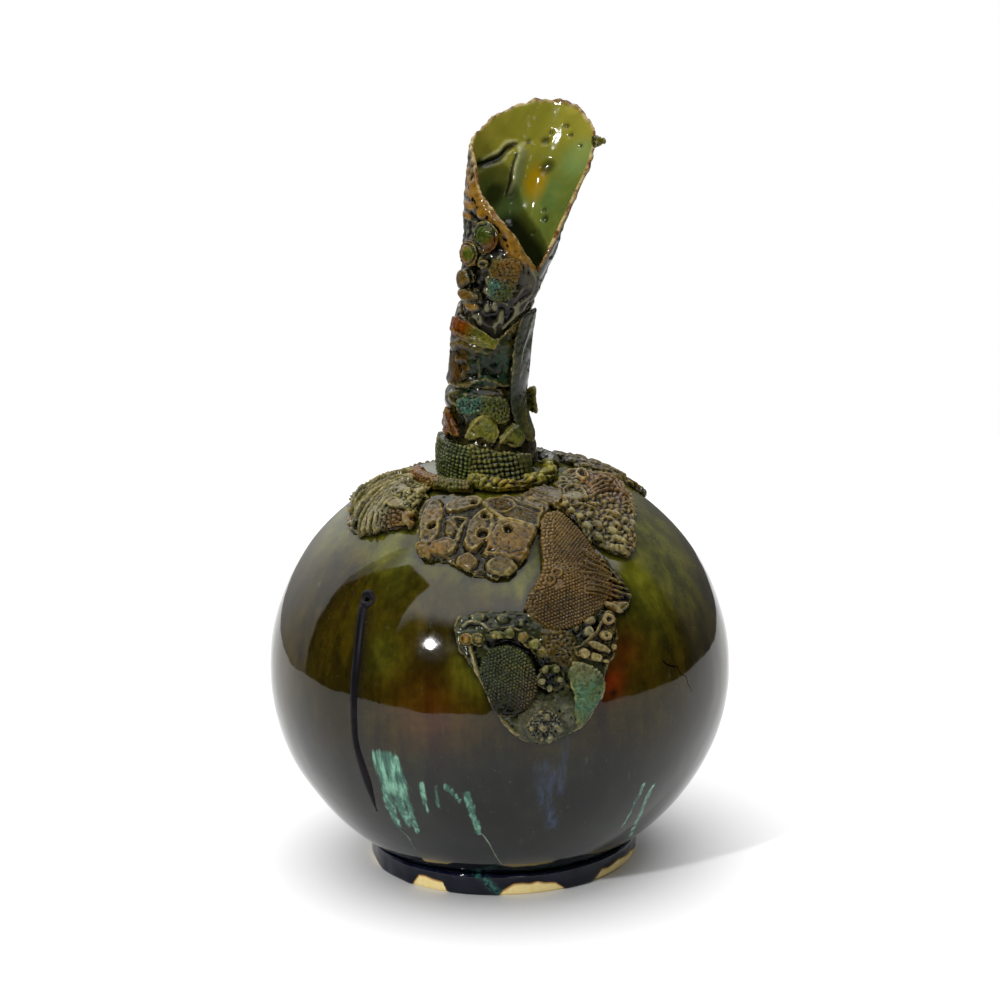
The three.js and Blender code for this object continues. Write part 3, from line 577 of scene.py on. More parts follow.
def colour(text, lit=1.0):
    """A colour as it is seen, as the light that it gives back where it is lit so many times over."""
    parts = [int(text[i : i + 2], 16) / 255 for i in (1, 3, 5)]
    return [linear(part) / lit for part in parts] + [1.0]


# The Mix node's sockets for colours: its factor, its two colours and what it makes of them.
MIX_IN = (0, 6, 7)
MIX_OUT = 2


class Finish:
    """A material and short ways to add nodes to it."""

    def __init__(self, name, roughness, **constants):
        self.material = bpy.data.materials.new(name)
        self.material.use_nodes = True
        self.tree = self.material.node_tree
        self.shader = self.tree.nodes["Principled BSDF"]
        self.shader.inputs["Roughness"].default_value = roughness
        for key, value in constants.items():
            self.shader.inputs[key.replace("_", " ")].default_value = value
        self.place = self.add("TexCoord").outputs["Object"]

    def add(self, kind, **settings):
        node = self.tree.nodes.new("ShaderNode" + kind)
        for key, value in settings.items():
            setattr(node, key, value)
        return node

    def put(self, value, socket):
        if isinstance(value, bpy.types.NodeSocket):
            self.tree.links.new(value, socket)
        else:
            socket.default_value = value

    def math(self, operation, *values):
        node = self.add("Math", operation=operation)
        for socket, value in zip(node.inputs, values):
            self.put(value, socket)
        return node.outputs[0]

    def kept(self, name):
        return self.add("Attribute", attribute_name=name).outputs["Fac"]

    def noise(self, scale, detail=3.0, vector=None, rough=0.55, distort=0.0):
        node = self.add("TexNoise")
        self.put(vector or self.place, node.inputs["Vector"])
        given = {"Scale": scale, "Detail": detail, "Roughness": rough, "Distortion": distort}
        for key, value in given.items():
            node.inputs[key].default_value = value
        return node.outputs["Fac"]

    def rise(self, value, low, high):
        node = self.add("MapRange", interpolation_type="SMOOTHSTEP")
        for socket, given in zip(node.inputs, (value, low, high)):
            self.put(given, socket)
        return node.outputs[0]

    def mix(self, factor, a, b, blend="MIX"):
        node = self.add("Mix", data_type="RGBA", blend_type=blend)
        for index, given in zip(MIX_IN, (factor, a, b)):
            self.put(given, node.inputs[index])
        return node.outputs[MIX_OUT]

    def stretched(self, along):
        """Object coordinates drawn out up and down, for what ran down the sides."""
        node = self.add("Mapping")
        self.put(self.place, node.inputs["Vector"])
        node.inputs["Scale"].default_value = (1, 1, along)
        return node.outputs["Vector"]

    def bump(self, height, distance, strength=1.0):
        node = self.add("Bump")
        self.put(height, node.inputs["Height"])
        node.inputs["Distance"].default_value = distance * MM
        node.inputs["Strength"].default_value = strength
        self.put(node.outputs["Normal"], self.shader.inputs["Normal"])

    def spread(self, value, share):
        """A noise as waves about 0, a share of it to each side."""
        return self.math("MULTIPLY_ADD", value, share, -share / 2)

    def share(self, name, most):
        """A kept value, times the most that it is to count."""
        return self.math("MULTIPLY", self.kept(name), most)

    def toned(self, shade, value, low, high, dark, bright):
        """A colour made darker and brighter by a noise, between two tones."""
        tone = self.mix(self.rise(value, low, high), (*dark, 1), (*bright, 1))
        return self.mix(1.0, shade, tone, "MULTIPLY")

    def base(self, value):
        self.put(value, self.shader.inputs["Base Color"])


# How many times over the light from above and the key light the clay.
LIT = 1.95

# Where a glaze ran thin over amber, and the pale edges: thin glaze there and a painted highlight.
THIN_AMBER = "#74581c"
WORN_AND_HIGHLIT_EDGE = "#b09e60"


def relief_glaze(
    name,
    pit,
    body,
    other,
    light,
    warm="#6e3e06",
    cool="#2c5a44",
    pale="#8f8a70",
    worn_and_highlit=0.42,
    hollow="#060603",
):
    """A glossy glaze. Its colours are, in order, that of the pressed pattern, its two main ones, that of
    what stands up, the three painted on, and that of the creases: pooled glaze and painted shade. Worn
    is how much clay shows at the edges where the glaze is thin, and how much painted highlight is there."""
    made = Finish(name, 0.13, Specular_IOR_Level=0.17)

    def seen(text):
        return colour(text, LIT)

    patches = made.noise(80, 4, rough=0.6)
    small = made.noise(230, 4, rough=0.65, distort=0.5)
    streaks = made.noise(520, 4, distort=0.8)
    level = made.math("ADD", made.kept("relief"), made.spread(streaks, 0.5))
    tint = made.math("ADD", patches, made.spread(small, 0.8))
    shade = made.mix(made.rise(tint, 0.36, 0.64), seen(body), seen(other))
    shade = made.mix(made.rise(level, 0.55, 1.15), shade, seen(light))
    amber = made.math("MULTIPLY", made.kept("warm"), made.rise(small, 0.2, 0.5))
    painted = made.mix(made.rise(level, 0.5, 1.15), seen(warm), seen(THIN_AMBER))
    shade = made.mix(amber, shade, painted)
    green = made.math("MULTIPLY", made.kept("cool"), made.rise(small, 0.75, 0.4))
    shade = made.mix(green, shade, seen(cool))
    shade = made.mix(made.kept("pale"), shade, seen(pale))
    shade = made.mix(made.rise(level, 0.3, -0.15), shade, seen(pit))
    bulge = made.math("ADD", made.kept("bulge"), made.spread(streaks, 0.8))
    # Paler on the clay's edges, less where it ran amber: glaze worn thin there, and a painted highlight.
    worn_and_highlit = made.math("MULTIPLY_ADD", made.kept("warm"), -0.8 * worn_and_highlit, worn_and_highlit)
    worn_and_highlit = made.math("MULTIPLY", made.rise(bulge, 0.45, 1.15), worn_and_highlit)
    shade = made.mix(worn_and_highlit, shade, seen(WORN_AND_HIGHLIT_EDGE))
    # Darker in the creases: pooled glaze and painted shade.
    shade = made.mix(made.rise(bulge, -0.1, -0.55), shade, seen(hollow))
    shade = made.toned(shade, made.noise(45, 3), 0.3, 0.7, (0.7, 0.72, 0.74), (1.3, 1.24, 1.14))
    made.base(made.toned(shade, streaks, 0.35, 0.62, (0.62, 0.62, 0.62), (1.22, 1.2, 1.16)))
    made.bump(made.noise(900, 3), 0.1, 0.7)
    return made.material


tan_glaze = relief_glaze(
    "tan_glaze",
    "#34341e",
    "#5a4c2a",
    "#5c4e1e",
    "#6e603c",
    "#4e3c08",
    "#3c4628",
    worn_and_highlit=0.65,
    hollow="#16140c",
)
fibre_glaze = relief_glaze("fibre_glaze", "#14140a", "#605a2c", "#6c6822", "#968c58", "#704806", "#4a6a16")
moss_glaze = relief_glaze("moss_glaze", "#0f140a", "#363c18", "#504e1c", "#6a6c38", cool="#4a5c1c")
scale_glaze = relief_glaze("scale_glaze", "#10120a", "#7e6a38", "#726236", "#a49860", "#8c5c30", "#566c40")
amber_glaze = relief_glaze("amber_glaze", "#1f1004", "#744a06", "#7a6c1c", "#968438", "#7a3a02", "#626c26")
frill_glaze = relief_glaze("frill_glaze", "#100c03", "#4c3a06", "#50480e", "#a09060", "#784204")
shield_glaze = relief_glaze(
    "shield_glaze", "#0c0f08", "#34381e", "#3e442e", "#5e644e", "#604a14", "#566858"
)
petal_glaze = relief_glaze("petal_glaze", "#2c3a1a", "#54622e", "#626c3c", "#828a58", cool="#4e725a")
sand_glaze = relief_glaze("sand_glaze", "#12160a", "#7c7a30", "#6c6e2c", "#989454", "#705018", "#3c5a38")
slip_glaze = relief_glaze("slip_glaze", "#1e221c", "#4a5040", "#3e4436", "#62664e", "#7a5a0c", "#6a6610")
tile_glaze = relief_glaze("tile_glaze", "#0c0b05", "#9c9254", "#9a8256", "#b0a674", "#8e6a48", "#647a38")
net_glaze = relief_glaze("net_glaze", "#0c1204", "#2a3c0e", "#384a16", "#64743a", "#4a3410", "#3c5a1c")
disc_glaze = relief_glaze(
    "disc_glaze", "#040502", "#1c2206", "#282608", "#5a5824", "#33200a", "#2c3e08", worn_and_highlit=0.15
)
coil_glaze = relief_glaze("coil_glaze", "#1c1708", "#5e4e1c", "#704e14", "#988440", "#7c4a0c", "#5a6c1e")
crown_glaze = relief_glaze("crown_glaze", "#2c2a0a", "#807c1e", "#908824", "#a8a450", "#9a6a0c", "#4c8044")
skin_glaze = relief_glaze(
    "skin_glaze",
    "#54400f",
    "#7c6636",
    "#806426",
    "#8e744a",
    "#5e4204",
    "#6a6414",
    worn_and_highlit=0.15,
    hollow="#40300a",
)
neck_glaze = relief_glaze("neck_glaze", "#080a06", "#26281a", "#443c14", "#605c36", "#6c4406", "#203e2a")
bead_glaze = relief_glaze(
    "bead_glaze", "#0c0f04", "#444e10", "#50561c", "#70743a", "#6a4e14", "#3c7060", worn_and_highlit=0.3
)

# The globe

# The globe's mesh is fine where its glaze is painted, and coarse inside.
OUTSIDE_STEPS = 186
INSIDE_STEPS = 16


def crown_dip(distance):
    """How far the crown is pressed in under the neck, in mm."""
    return CROWN_DIP * (1 - smooth(distance, CROWN_DIP_START, CROWN_DIP_END))


def side_of_ball(halves, start, end, steps):
    """Points up the side of a ball, as distance from the axis and height, between two angles."""
    rows = []
    for i in range(steps + 1):
        angle = start + (end - start) * i / steps
        distance = halves[0] * math.cos(angle)
        dip = crown_dip(distance) if angle > 0 else 0
        rows.append((distance, BELLY + halves[1] * math.sin(angle) - dip))
    return rows


def spun(name, profile, steps):
    """A mesh turned on the wheel from a profile of distance from the axis and height."""
    bm = bmesh.new()
    corners = [bm.verts.new((distance * MM, 0, height * MM)) for distance, height in profile]
    edges = [bm.edges.new(pair) for pair in zip(corners, corners[1:])]
    bmesh.ops.spin(
        bm,
        geom=corners + edges,
        cent=(0, 0, 0),
        axis=(0, 0, 1),
        angle=2 * math.pi,
        steps=steps,
        use_merge=True,
    )
    bmesh.ops.remove_doubles(bm, verts=bm.verts, dist=WELD)
    bmesh.ops.recalc_face_normals(bm, faces=bm.faces)
    mesh = bpy.data.meshes.new(name)
    bm.to_mesh(mesh)
    bm.free()
    return new_piece(name, mesh)


def globe_profile():
    """Half of a cut through the globe: the recess under it, its outside, its inside and its floor."""
    outer = (GLOBE_HALVES[0], GLOBE_HALVES[2])
    inner = (outer[0] - GLOBE_WALL, outer[1] - GLOBE_WALL)
    foot = math.asin((FOOT_RECESS - BELLY) / outer[1])
    mouth = math.acos(MOUTH / outer[0])
    inner_mouth = math.acos(MOUTH / inner[0])
    inner_foot = math.asin((FLOOR_TOP - BELLY) / inner[1])
    return [
        (0, FOOT_RECESS),
        *side_of_ball(outer, foot, mouth, OUTSIDE_STEPS),
        *side_of_ball(inner, inner_mouth, inner_foot, INSIDE_STEPS),
        (0, FLOOR_TOP),
    ]


everywhere = GlobeBed(0, 90)


def on_globe(*pixels, lift=0.0):
    """A path of pixels as points on the globe, with its corners rounded off."""
    return np.array([everywhere.hit(*pixel, lift=lift) for pixel in rounded(pixels)])


# Colours that ran on the globe: pixels down the middle of each streak, and half its width in mm.
TURQUOISE_RUNS = (
    (((379, 756), (385, 784), (392, 812), (401, 830)), 4.2),
    (((387, 757), (394, 780), (400, 805), (410, 828)), 4.6),
    (((396, 760), (402, 780), (409, 806), (419, 836)), 2.6),
    (((467, 794), (472, 812), (480, 836)), 2.6),
    (((446, 786), (455, 796), (462, 803)), 1.8),
    (((421, 784), (424, 800), (428, 815)), 1.4),
    (((434, 786), (437, 800), (438, 812)), 1.2),
    (((652, 788), (641, 812), (628, 842)), 2.0),
    (((643, 786), (634, 806), (622, 828)), 1.4),
)
BLUE_RUNS = (
    (((564, 706), (565, 735), (563, 765), (558, 800)), 3.6),
    (((545, 770), (548, 800), (552, 830)), 6.0),
)

# Lines that stand up on the globe, as pixels, and the crater's middle.
INK_RUN = ((366, 606), (364, 622), (360, 660), (357, 690), (357, 722), (359, 742))
INK_RUN += ((365, 764), (371, 784), (379, 808))
DRIPS = (
    ((400, 829), (407, 835), (414, 846), (422, 858)),
    ((481, 832), (489, 843), (496, 856), (503, 866)),
)
CRACK = ((663, 661), (668, 665), (677, 667), (680, 673), (686, 677), (688, 684), (692, 691))
CRATER = (368.5, 600)

# Where the globe's glaze changed colour: a pixel, a radius in mm and how much.
OLIVE_SPOTS = (
    (655, 548, 30, 1.0),
    (640, 590, 20, 0.75),
    (640, 532, 16, 0.7),
    (478, 668, 13, 0.9),
    (395, 590, 22, 0.15),
    (382, 655, 10, 0.6),
)
RUST_SPOTS = ((609, 684, 8, 1.0), (625, 650, 10, 0.3), (430, 715, 18, 0.22))
AMBER_SPOTS = ((385, 640, 24, 1.0), (335, 640, 22, 1.0), (450, 700, 18, 0.7))
DARK_SPOTS = ((614, 693, 2.2, 1.0), (500, 815, 22, 0.5))
DRIP_SPOTS = ((350, 585, 14, 1.0), (338, 600, 12, 1.0))

# No glaze pools and no shadow is painted below this, in mm over the table, as nothing is laid on there.
POOL_AND_SHADOW_ABOVE = 50
WHEEL_STEPS = 440
FOOT_STEPS = 360


def pooled_and_shaded(points):
    """How close each point is to what is laid on the globe: 1 at its foot, 0 well away from it."""
    laid = np.concatenate(laid_points)
    tree = KDTree(len(laid))
    for index, point in enumerate(laid):
        tree.insert(point, index)
    tree.balance()
    near = np.zeros(len(points))
    for index in np.flatnonzero(points[:, 2] > POOL_AND_SHADOW_ABOVE):
        near[index] = smooth(tree.find(points[index])[2], 3.4, 0.7)
    return near


def streaked(points, rows):
    """1 down the middle of each streak and 0 beside it: streaks get narrower as they run down."""
    total = np.zeros(len(points))
    for pixels, half in rows:
        gap, along, _ = to_path(points, on_globe(*pixels))
        streak = smooth(gap, half * (1.5 - 0.7 * along), 0)
        total = np.maximum(total, streak * smooth(along, 1.03, 0.9))
    return total


def spotted(points, rows):
    """Soft round spots on the globe, added up."""
    total = 0.0
    for px, py, radius, share in rows:
        gap = np.linalg.norm(points - everywhere.hit(px, py, lift=0.0), axis=1)
        total = total + share * np.exp(-((gap / radius) ** 2))
    return total


def globe_glaze():
    glaze = Finish("globe_glaze", 0.06, Specular_IOR_Level=0.27)
    runs = glaze.noise(70, 5, glaze.stretched(0.1), rough=0.6, distort=0.3)
    brush = glaze.noise(330, 4, glaze.stretched(0.07), rough=0.6, distort=0.2)
    wide = glaze.noise(14, 4, glaze.stretched(0.6), rough=0.6)
    mottle = glaze.noise(120, 4, rough=0.65)
    specks = glaze.noise(420, 3)
    height = glaze.add("SeparateXYZ")
    glaze.put(glaze.place, height.inputs[0])
    amber = glaze.mix(glaze.rise(runs, 0.35, 0.65), colour("#1a1401"), colour("#302702"))
    olive = glaze.mix(glaze.rise(runs, 0.3, 0.7), colour("#2e3008"), colour("#565614"))
    dusk = glaze.mix(glaze.rise(runs, 0.35, 0.7), colour("#0a0c08"), colour("#171b12"))
    night = glaze.mix(glaze.rise(wide, 0.4, 0.6), colour("#090b0f"), colour("#101816"))

    # From the crown down it is olive, amber, dusk and night. Heights here are metres over the table.
    level = glaze.math("ADD", glaze.spread(wide, 0.09), height.outputs[2])
    shade = glaze.mix(glaze.rise(level, 0.115, 0.075), amber, dusk)
    shade = glaze.mix(glaze.rise(level, 0.05, 0.02), shade, night)
    shade = glaze.mix(glaze.rise(level, 0.16, 0.19), shade, olive)
    shade = glaze.mix(glaze.share("amber", 0.6), shade, amber)
    shade = glaze.mix(glaze.kept("olive"), shade, olive)
    shade = glaze.mix(glaze.share("rust", 0.95), shade, colour("#5e2004"))
    shade = glaze.mix(glaze.kept("dark"), shade, colour("#0c0804"))

    # What ran down over it.
    drips = glaze.math("MULTIPLY", glaze.kept("drip"), glaze.rise(brush, 0.5, 0.7))
    shade = glaze.mix(drips, shade, colour("#241604"))
    blue = glaze.math("MULTIPLY", glaze.kept("blue"), glaze.rise(brush, 0.3, 0.8))
    shade = glaze.mix(blue, shade, colour("#2c3850"))
    blur = glaze.math("ADD", glaze.kept("teal"), glaze.spread(brush, 1.3))
    teal = glaze.mix(glaze.rise(brush, 0.42, 0.68), colour("#2c5248"), colour("#6c9a84"))
    shade = glaze.mix(glaze.rise(blur, 0.2, 0.75), shade, teal)
    shade = glaze.mix(glaze.share("ink", 0.75), shade, colour("#141008"))
    # Dark round the foot of what is laid on: pooled glaze and a painted contact shadow.
    shade = glaze.mix(glaze.share("pool_and_shadow", 0.85), shade, colour("#0a0b06"))
    shade = glaze.mix(glaze.rise(specks, 0.64, 0.8), shade, colour("#33341c"))
    glaze.base(glaze.toned(shade, mottle, 0.3, 0.7, (0.74, 0.74, 0.74), (1.3, 1.28, 1.22)))
    duller = glaze.math("MULTIPLY_ADD", glaze.rise(mottle, 0.45, 0.75), 0.07, 0.045)
    glaze.put(duller, glaze.shader.inputs["Roughness"])
    glaze.bump(glaze.noise(60, 3), 0.25, 0.25)
    return glaze.material


def dress_globe():
    piece = spun("globe_body", globe_profile(), WHEEL_STEPS)
    mesh = piece.data
    points = read(mesh.vertices, "co") / MM
    out = unit((points - BELLY_POINT) / GLOBE_HALVES**2)
    outside = np.linalg.norm((points - BELLY_POINT) / GLOBE_HALVES, axis=1) > 0.97
    pool_and_shadow = pooled_and_shaded(points) * outside

    # The wall is a little out of round, but not at the foot and the mouth.
    wander = (grain(points, 46, seed=11) - 0.5) * 1.2 + (grain(points, 15, seed=12) - 0.5) * 0.26
    wander *= smooth(points[:, 2], 16, 40) * smooth(points[:, 2], 206, 190)
    moved = points + out * (wander + 0.1 * pool_and_shadow)[:, None]
    mesh.vertices.foreach_set("co", (moved * MM).astype(np.float32).ravel())

    gap, along, _ = to_path(points, on_globe(*INK_RUN))
    painted = {
        "pool_and_shadow": pool_and_shadow,
        "ink": smooth(gap, 6.5, 1.5) * smooth(along, 0, 0.03) * outside,
        "teal": streaked(points, TURQUOISE_RUNS) * outside,
        "blue": streaked(points, BLUE_RUNS) * outside,
        "olive": spotted(points, OLIVE_SPOTS) * outside,
        "rust": spotted(points, RUST_SPOTS) * outside,
        "amber": spotted(points, AMBER_SPOTS) * outside,
        "dark": spotted(points, DARK_SPOTS) * outside,
        "drip": spotted(points, DRIP_SPOTS) * outside,
    }
    for name, values in painted.items():
        keep_value(mesh, name, values)
    mesh.update()
    finish(piece, globe_glaze(), "olive_glaze", "globe")


def thread(name, spots, radii, material, slot, closed=False):
    """A round line of glaze along spots in mm, with its radius in mm at each."""
    curve = bpy.data.curves.new(name, "CURVE")
    curve.dimensions = "3D"
    curve.bevel_depth = MM
    curve.bevel_resolution = 3
    curve.use_fill_caps = True
    line = curve.splines.new("POLY")
    line.use_cyclic_u = closed
    line.points.add(len(spots) - 1)
    for corner, spot, radius in zip(line.points, spots, radii):
        corner.co = (*(spot * MM), 1)
        corner.radius = radius
    drawn = new_piece(name + "_line", curve)
    graph = bpy.context.evaluated_depsgraph_get()
    mesh = bpy.data.meshes.new_from_object(drawn.evaluated_get(graph))
    bpy.data.objects.remove(drawn)
    bm = bmesh.new()
    bm.from_mesh(mesh)
    bmesh.ops.remove_doubles(bm, verts=bm.verts, dist=0.002 * MM)
    bmesh.ops.recalc_face_normals(bm, faces=bm.faces)
    bm.to_mesh(mesh)
    bm.free()
    finish(new_piece(name, mesh), material, slot)


def dress_runs():
    """The thick runs of glaze that stand up on the globe, the crater of one, and a hairline crack."""
    ink = Finish("ink_run_glaze", 0.4, Specular_IOR_Level=0.06)
    ink.base(ink.mix(ink.rise(ink.noise(60, 3), 0.4, 0.65), colour("#08070a"), colour("#141014")))
    spots = on_globe(*INK_RUN, lift=-2.2)
    share = np.linspace(0, 1, len(spots))
    radii = 3.6 + 0.3 * np.sin(share * 9) - 1.4 * smooth(share, 0.8, 1.0)
    thread("ink_run", spots, radii, ink.material, "ink_glaze")
    around = np.linspace(0, 2 * math.pi, 25)[:-1]
    spans = 5.4 + 0.6 * np.sin(around * 3 + 1)
    right, down = CRATER[0] + spans * np.cos(around), CRATER[1] + 1.1 * spans * np.sin(around)
    ring = np.array([everywhere.hit(*pixel, lift=-0.7) for pixel in zip(right, down)])
    radii = 1.9 + 0.5 * np.sin(around * 2 + 4)
    thread("crater", ring, radii, ink.material, "ink_glaze", closed=True)
    # The black, matt crater floor is painted shade in its hole; the hairline crack shares its black.
    hole = Finish("crater_hollow", 0.9, Specular_IOR_Level=0.0)
    hole.base(colour("#040305"))
    deep = np.array([everywhere.hit(CRATER[0], CRATER[1] + step, lift=-0.9) for step in (-3, 0, 3)])
    thread("crater_floor", deep, (1.4, 1.9, 1.4), hole.material, "ink_glaze")
    drop = Finish("drip_glaze", 0.05, Specular_IOR_Level=0.5)
    drop.base(drop.mix(drop.rise(drop.noise(90, 3), 0.4, 0.7), colour("#3c463a"), colour("#74866e")))
    for number, pixels in enumerate(DRIPS, 1):
        spots = on_globe(*pixels, lift=-0.1)
        radii = np.linspace(0.5, 0.32, len(spots))
        thread(f"glaze_drip_{number}", spots, radii, drop.material, "jade_glaze")
    spots = on_globe(*CRACK, lift=-0.02)
    thread("hairline_crack", spots, np.linspace(0.34, 0.12, len(spots)), hole.material, "ink_glaze")


FOOT_INNER = FOOT_RADIUS - FOOT_WALL

# How high the glaze stops: azimuths, and mm above the table, where it ran thick, thin or not at all.
GLAZE_AZIMUTHS = (-75, -60, -44, -39, -27, -24, -4, -1, 4, 14, 22, 27, 40, 46, 58, 72, 84)
GLAZE_HEIGHTS = (2, -1, -1, 6.5, 6, -2, -2, 3, 6, 6.5, 5, -1, -1, 4.5, 6, 5, 1)


def foot_profile():
    """The band that the globe stands on, with its lower edges rounded and its top under the globe."""
    top = FOOT_HEIGHT - 0.3
    ease = 1.6
    quarter = (0.5, 1.0, 1.57)
    profile = [(FOOT_INNER, ease)]
    profile += [(FOOT_INNER + ease * (1 - math.cos(a)), ease * (1 - math.sin(a))) for a in quarter]
    profile += [(FOOT_INNER + i, 0) for i in range(3, 8)]
    for a in (0.01, *quarter):
        profile.append((FOOT_RADIUS - ease * (1 - math.sin(a)), ease * (1 - math.cos(a))))
    profile += [(FOOT_RADIUS, ease + i * (top - 2 * ease) / 8) for i in range(1, 9)]
    profile += [(FOOT_RADIUS - 1.0, top - 0.5), (FOOT_RADIUS - 4, top - 2.6)]
    return profile + [(FOOT_INNER, 5.9), (FOOT_INNER, ease)]


def foot_glaze():
    glaze = Finish("foot_glaze", 0.08, Specular_IOR_Level=0.3)
    covered = glaze.rise(glaze.kept("glazed"), -0.15, 0.25)
    runs = glaze.noise(90, 4, glaze.stretched(0.3))
    ink = glaze.mix(glaze.rise(runs, 0.45, 0.7), colour("#06081a"), colour("#121c2c"))
    ink = glaze.mix(glaze.rise(runs, 0.62, 0.78), ink, colour("#23343a"))
    teal = glaze.math("MULTIPLY", glaze.kept("teal"), glaze.rise(glaze.noise(500, 3), 0.35, 0.6))
    ink = glaze.mix(teal, ink, colour("#2c6258"))
    clay = glaze.mix(glaze.noise(400, 5), colour("#f0d27c"), colour("#fff0b8"))
    rusty = glaze.mix(glaze.rise(glaze.kept("glazed"), -1.6, -0.1), clay, colour("#9a6a2a"))
    glaze.base(glaze.mix(covered, rusty, ink))
    glaze.put(glaze.math("MULTIPLY_ADD", covered, -0.62, 0.7), glaze.shader.inputs["Roughness"])
    glaze.bump(glaze.noise(300, 4), 0.15, 0.5)
    return glaze.material


def dress_foot():
    piece = spun("foot_band", foot_profile(), FOOT_STEPS)
    mesh = piece.data
    points = read(mesh.vertices, "co") / MM
    around = np.degrees(np.arctan2(points[:, 0], -points[:, 1]))
    distance = np.hypot(points[:, 0], points[:, 1])
    behind = np.abs(around) > 80
    edge = np.interp(around, GLAZE_AZIMUTHS, GLAZE_HEIGHTS)
    edge = edge + (grain(points, 7, seed=21) - 0.5) * 2.6 + (grain(points, 26, seed=22) - 0.5) * 6 * behind
    bare = np.where(distance < FOOT_INNER + 4, -3.0, points[:, 2] - edge)

    # Where it is thick the glaze stands out from the clay.
    thick = smooth(bare, 0.0, 1.2) * smooth(distance, FOOT_INNER + 6, FOOT_RADIUS - 1)
    out = unit(points * (1, 1, 0.0) + 1e-9)
    points = points + out * (thick * 0.9 + (grain(points, 12, seed=23) - 0.5) * 1.3 * thick)[:, None]
    mesh.vertices.foreach_set("co", (points * MM).astype(np.float32).ravel())
    keep_value(mesh, "glazed", bare)
    stroke = np.abs(around + 6 + 0.9 * (points[:, 2] - 6)) + 3 * (grain(points, 4, seed=24) - 0.5)
    keep_value(mesh, "teal", smooth(stroke, 3.4, 1.0) * (distance > FOOT_RADIUS - 3))
    mesh.update()
    finish(piece, foot_glaze(), "ink_glaze", "foot_ring")


# The neck's three slabs


def dress_tube_and_sleeve():
    tube = Clay("neck_tube", NeckBed(0, 20, tube_radius), voxel=0.7, levels=1)
    tube.height = 0.9 * grain(tube.points, 6, seed=31)
    tube.crumple(5, 0.5, seed=35)
    tube.ridges(
        (((524, 406), (532, 422), (535, 440), (528, 456)), 5, 1.5, 0.3),
        (((516, 402), (528, 414), (536, 432), (538, 458)), 2, 1.2, 0, 0, 0.3),
        (((447, 398), (456, 408), (465, 420)), 1.4, 1.6, 0, 0, 0.5),
        (((443, 402), (447, 395), (456, 393), (463, 396)), 3.4, 1.3),
        (((452, 404), (460, 414), (466, 424)), 2.6, 1.0),
        (((540, 455), (532, 462), (520, 466)), 3, 1.3, 0.0, 0.5),
    )
    tube.sink(tube.disc((456, 418), 6), 1.4)
    tube.paint(tube.area((530, 430), 9), warm=0.75)
    tube.paint(tube.area((470, 403), 9, 0.3), cool=1.0)
    tube.bake(neck_glaze, "moss_glaze", base=-0.4)

    sleeve = Clay("neck_sleeve", NeckBed(0, 55, sleeve_radius), voxel=0.7, levels=1)
    sleeve.height = 1.0 * grain(sleeve.points, 9, seed=32)
    sleeve.crumple(9, 0.5, seed=36)
    low_fold = ((448, 388), (462, 386), (472, 383), (483, 379), (497, 383), (509, 387), (516, 383))
    sleeve.ridges(
        (((452, 345), (462, 343), (474, 349), (488, 354)), 5, 1.7, 0.55),
        (((456, 359), (464, 360), (468, 368), (462, 375)), 1.8, 1.7, 0.8),
        (((478, 360), (479, 370), (479, 382)), 2.4, 1.4, 0, 0.2, 0.15),
        (low_fold, 3.0, 1.5),
        (((506, 352), (508, 366), (506, 380)), 4, 1.0, 0, 0.3),
        (((516, 346), (515, 362), (516, 382)), 2.2, 1.4, 0, 0, 0.3),
    )
    sleeve.sink(sleeve.disc((493, 371), 12), 1.0)
    sleeve.sink(sleeve.disc((461, 366), 4), 0.9)
    sleeve.paint(sleeve.area((458, 368), 8, 0.8), warm=0.45)
    sleeve.paint(sleeve.area((494, 368), 14), cool=0.9)
    sleeve.bake(neck_glaze, "moss_glaze", base=-0.6)


def scoop_glaze():
    """A dark skin outside, an olive lining with painted shade inside, and clay that shows at the rim."""
    glaze = Finish("scoop_glaze", 0.11, Specular_IOR_Level=0.2)
    patches = glaze.noise(45, 4, distort=0.6)
    fine = glaze.noise(300, 4)
    level = glaze.math("ADD", glaze.kept("relief"), glaze.spread(fine, 0.6))
    bulge = glaze.math("ADD", glaze.kept("bulge"), glaze.spread(fine, 0.6))
    skin = glaze.mix(glaze.rise(level, 0.0, 0.5), colour("#0a0a08"), colour("#26241c"))
    skin = glaze.mix(glaze.rise(level, 0.6, 1.2), skin, colour("#3d382a"))
    skin = glaze.mix(glaze.rise(bulge, 0.3, 0.9), skin, colour("#5e5c42"))
    amber = glaze.mix(glaze.rise(fine, 0.35, 0.6), colour("#664408"), colour("#7e5c1a"))
    skin = glaze.mix(glaze.kept("warm"), skin, amber)
    # Darker in the skin's creases: pooled glaze and painted shade.
    skin = glaze.mix(glaze.rise(bulge, -0.1, -0.6), skin, colour("#040403"))
    green = glaze.mix(glaze.rise(patches, 0.3, 0.7), colour("#4a5a26"), colour("#666c28"))
    olive = glaze.mix(glaze.rise(patches, 0.3, 0.7), colour("#706e20"), colour("#8c8430"))
    lining = glaze.mix(glaze.kept("upper"), green, olive)
    lining = glaze.mix(glaze.kept("gold"), lining, colour("#8a6e02"))
    lining = glaze.mix(glaze.kept("cool"), lining, colour("#5a7c4c"))
    lining = glaze.mix(glaze.kept("pale"), lining, colour("#7c8660"))
    lining = glaze.mix(glaze.rise(bulge, 0.35, 1.0), lining, colour("#8e8c5c"))
    # Painted shade in the crease, the dents, the throat and under the lapped edge.
    lining = glaze.mix(glaze.kept("shade"), lining, colour("#0c1208"))
    shade = glaze.mix(glaze.kept("inside"), skin, lining)
    edge = glaze.mix(glaze.rise(glaze.noise(260, 4), 0.4, 0.6), colour("#5a3210"), colour("#a08a58"))
    glaze.base(glaze.mix(glaze.kept("rim"), shade, edge))
    glaze.bump(fine, 0.06, 0.5)
    return glaze.material


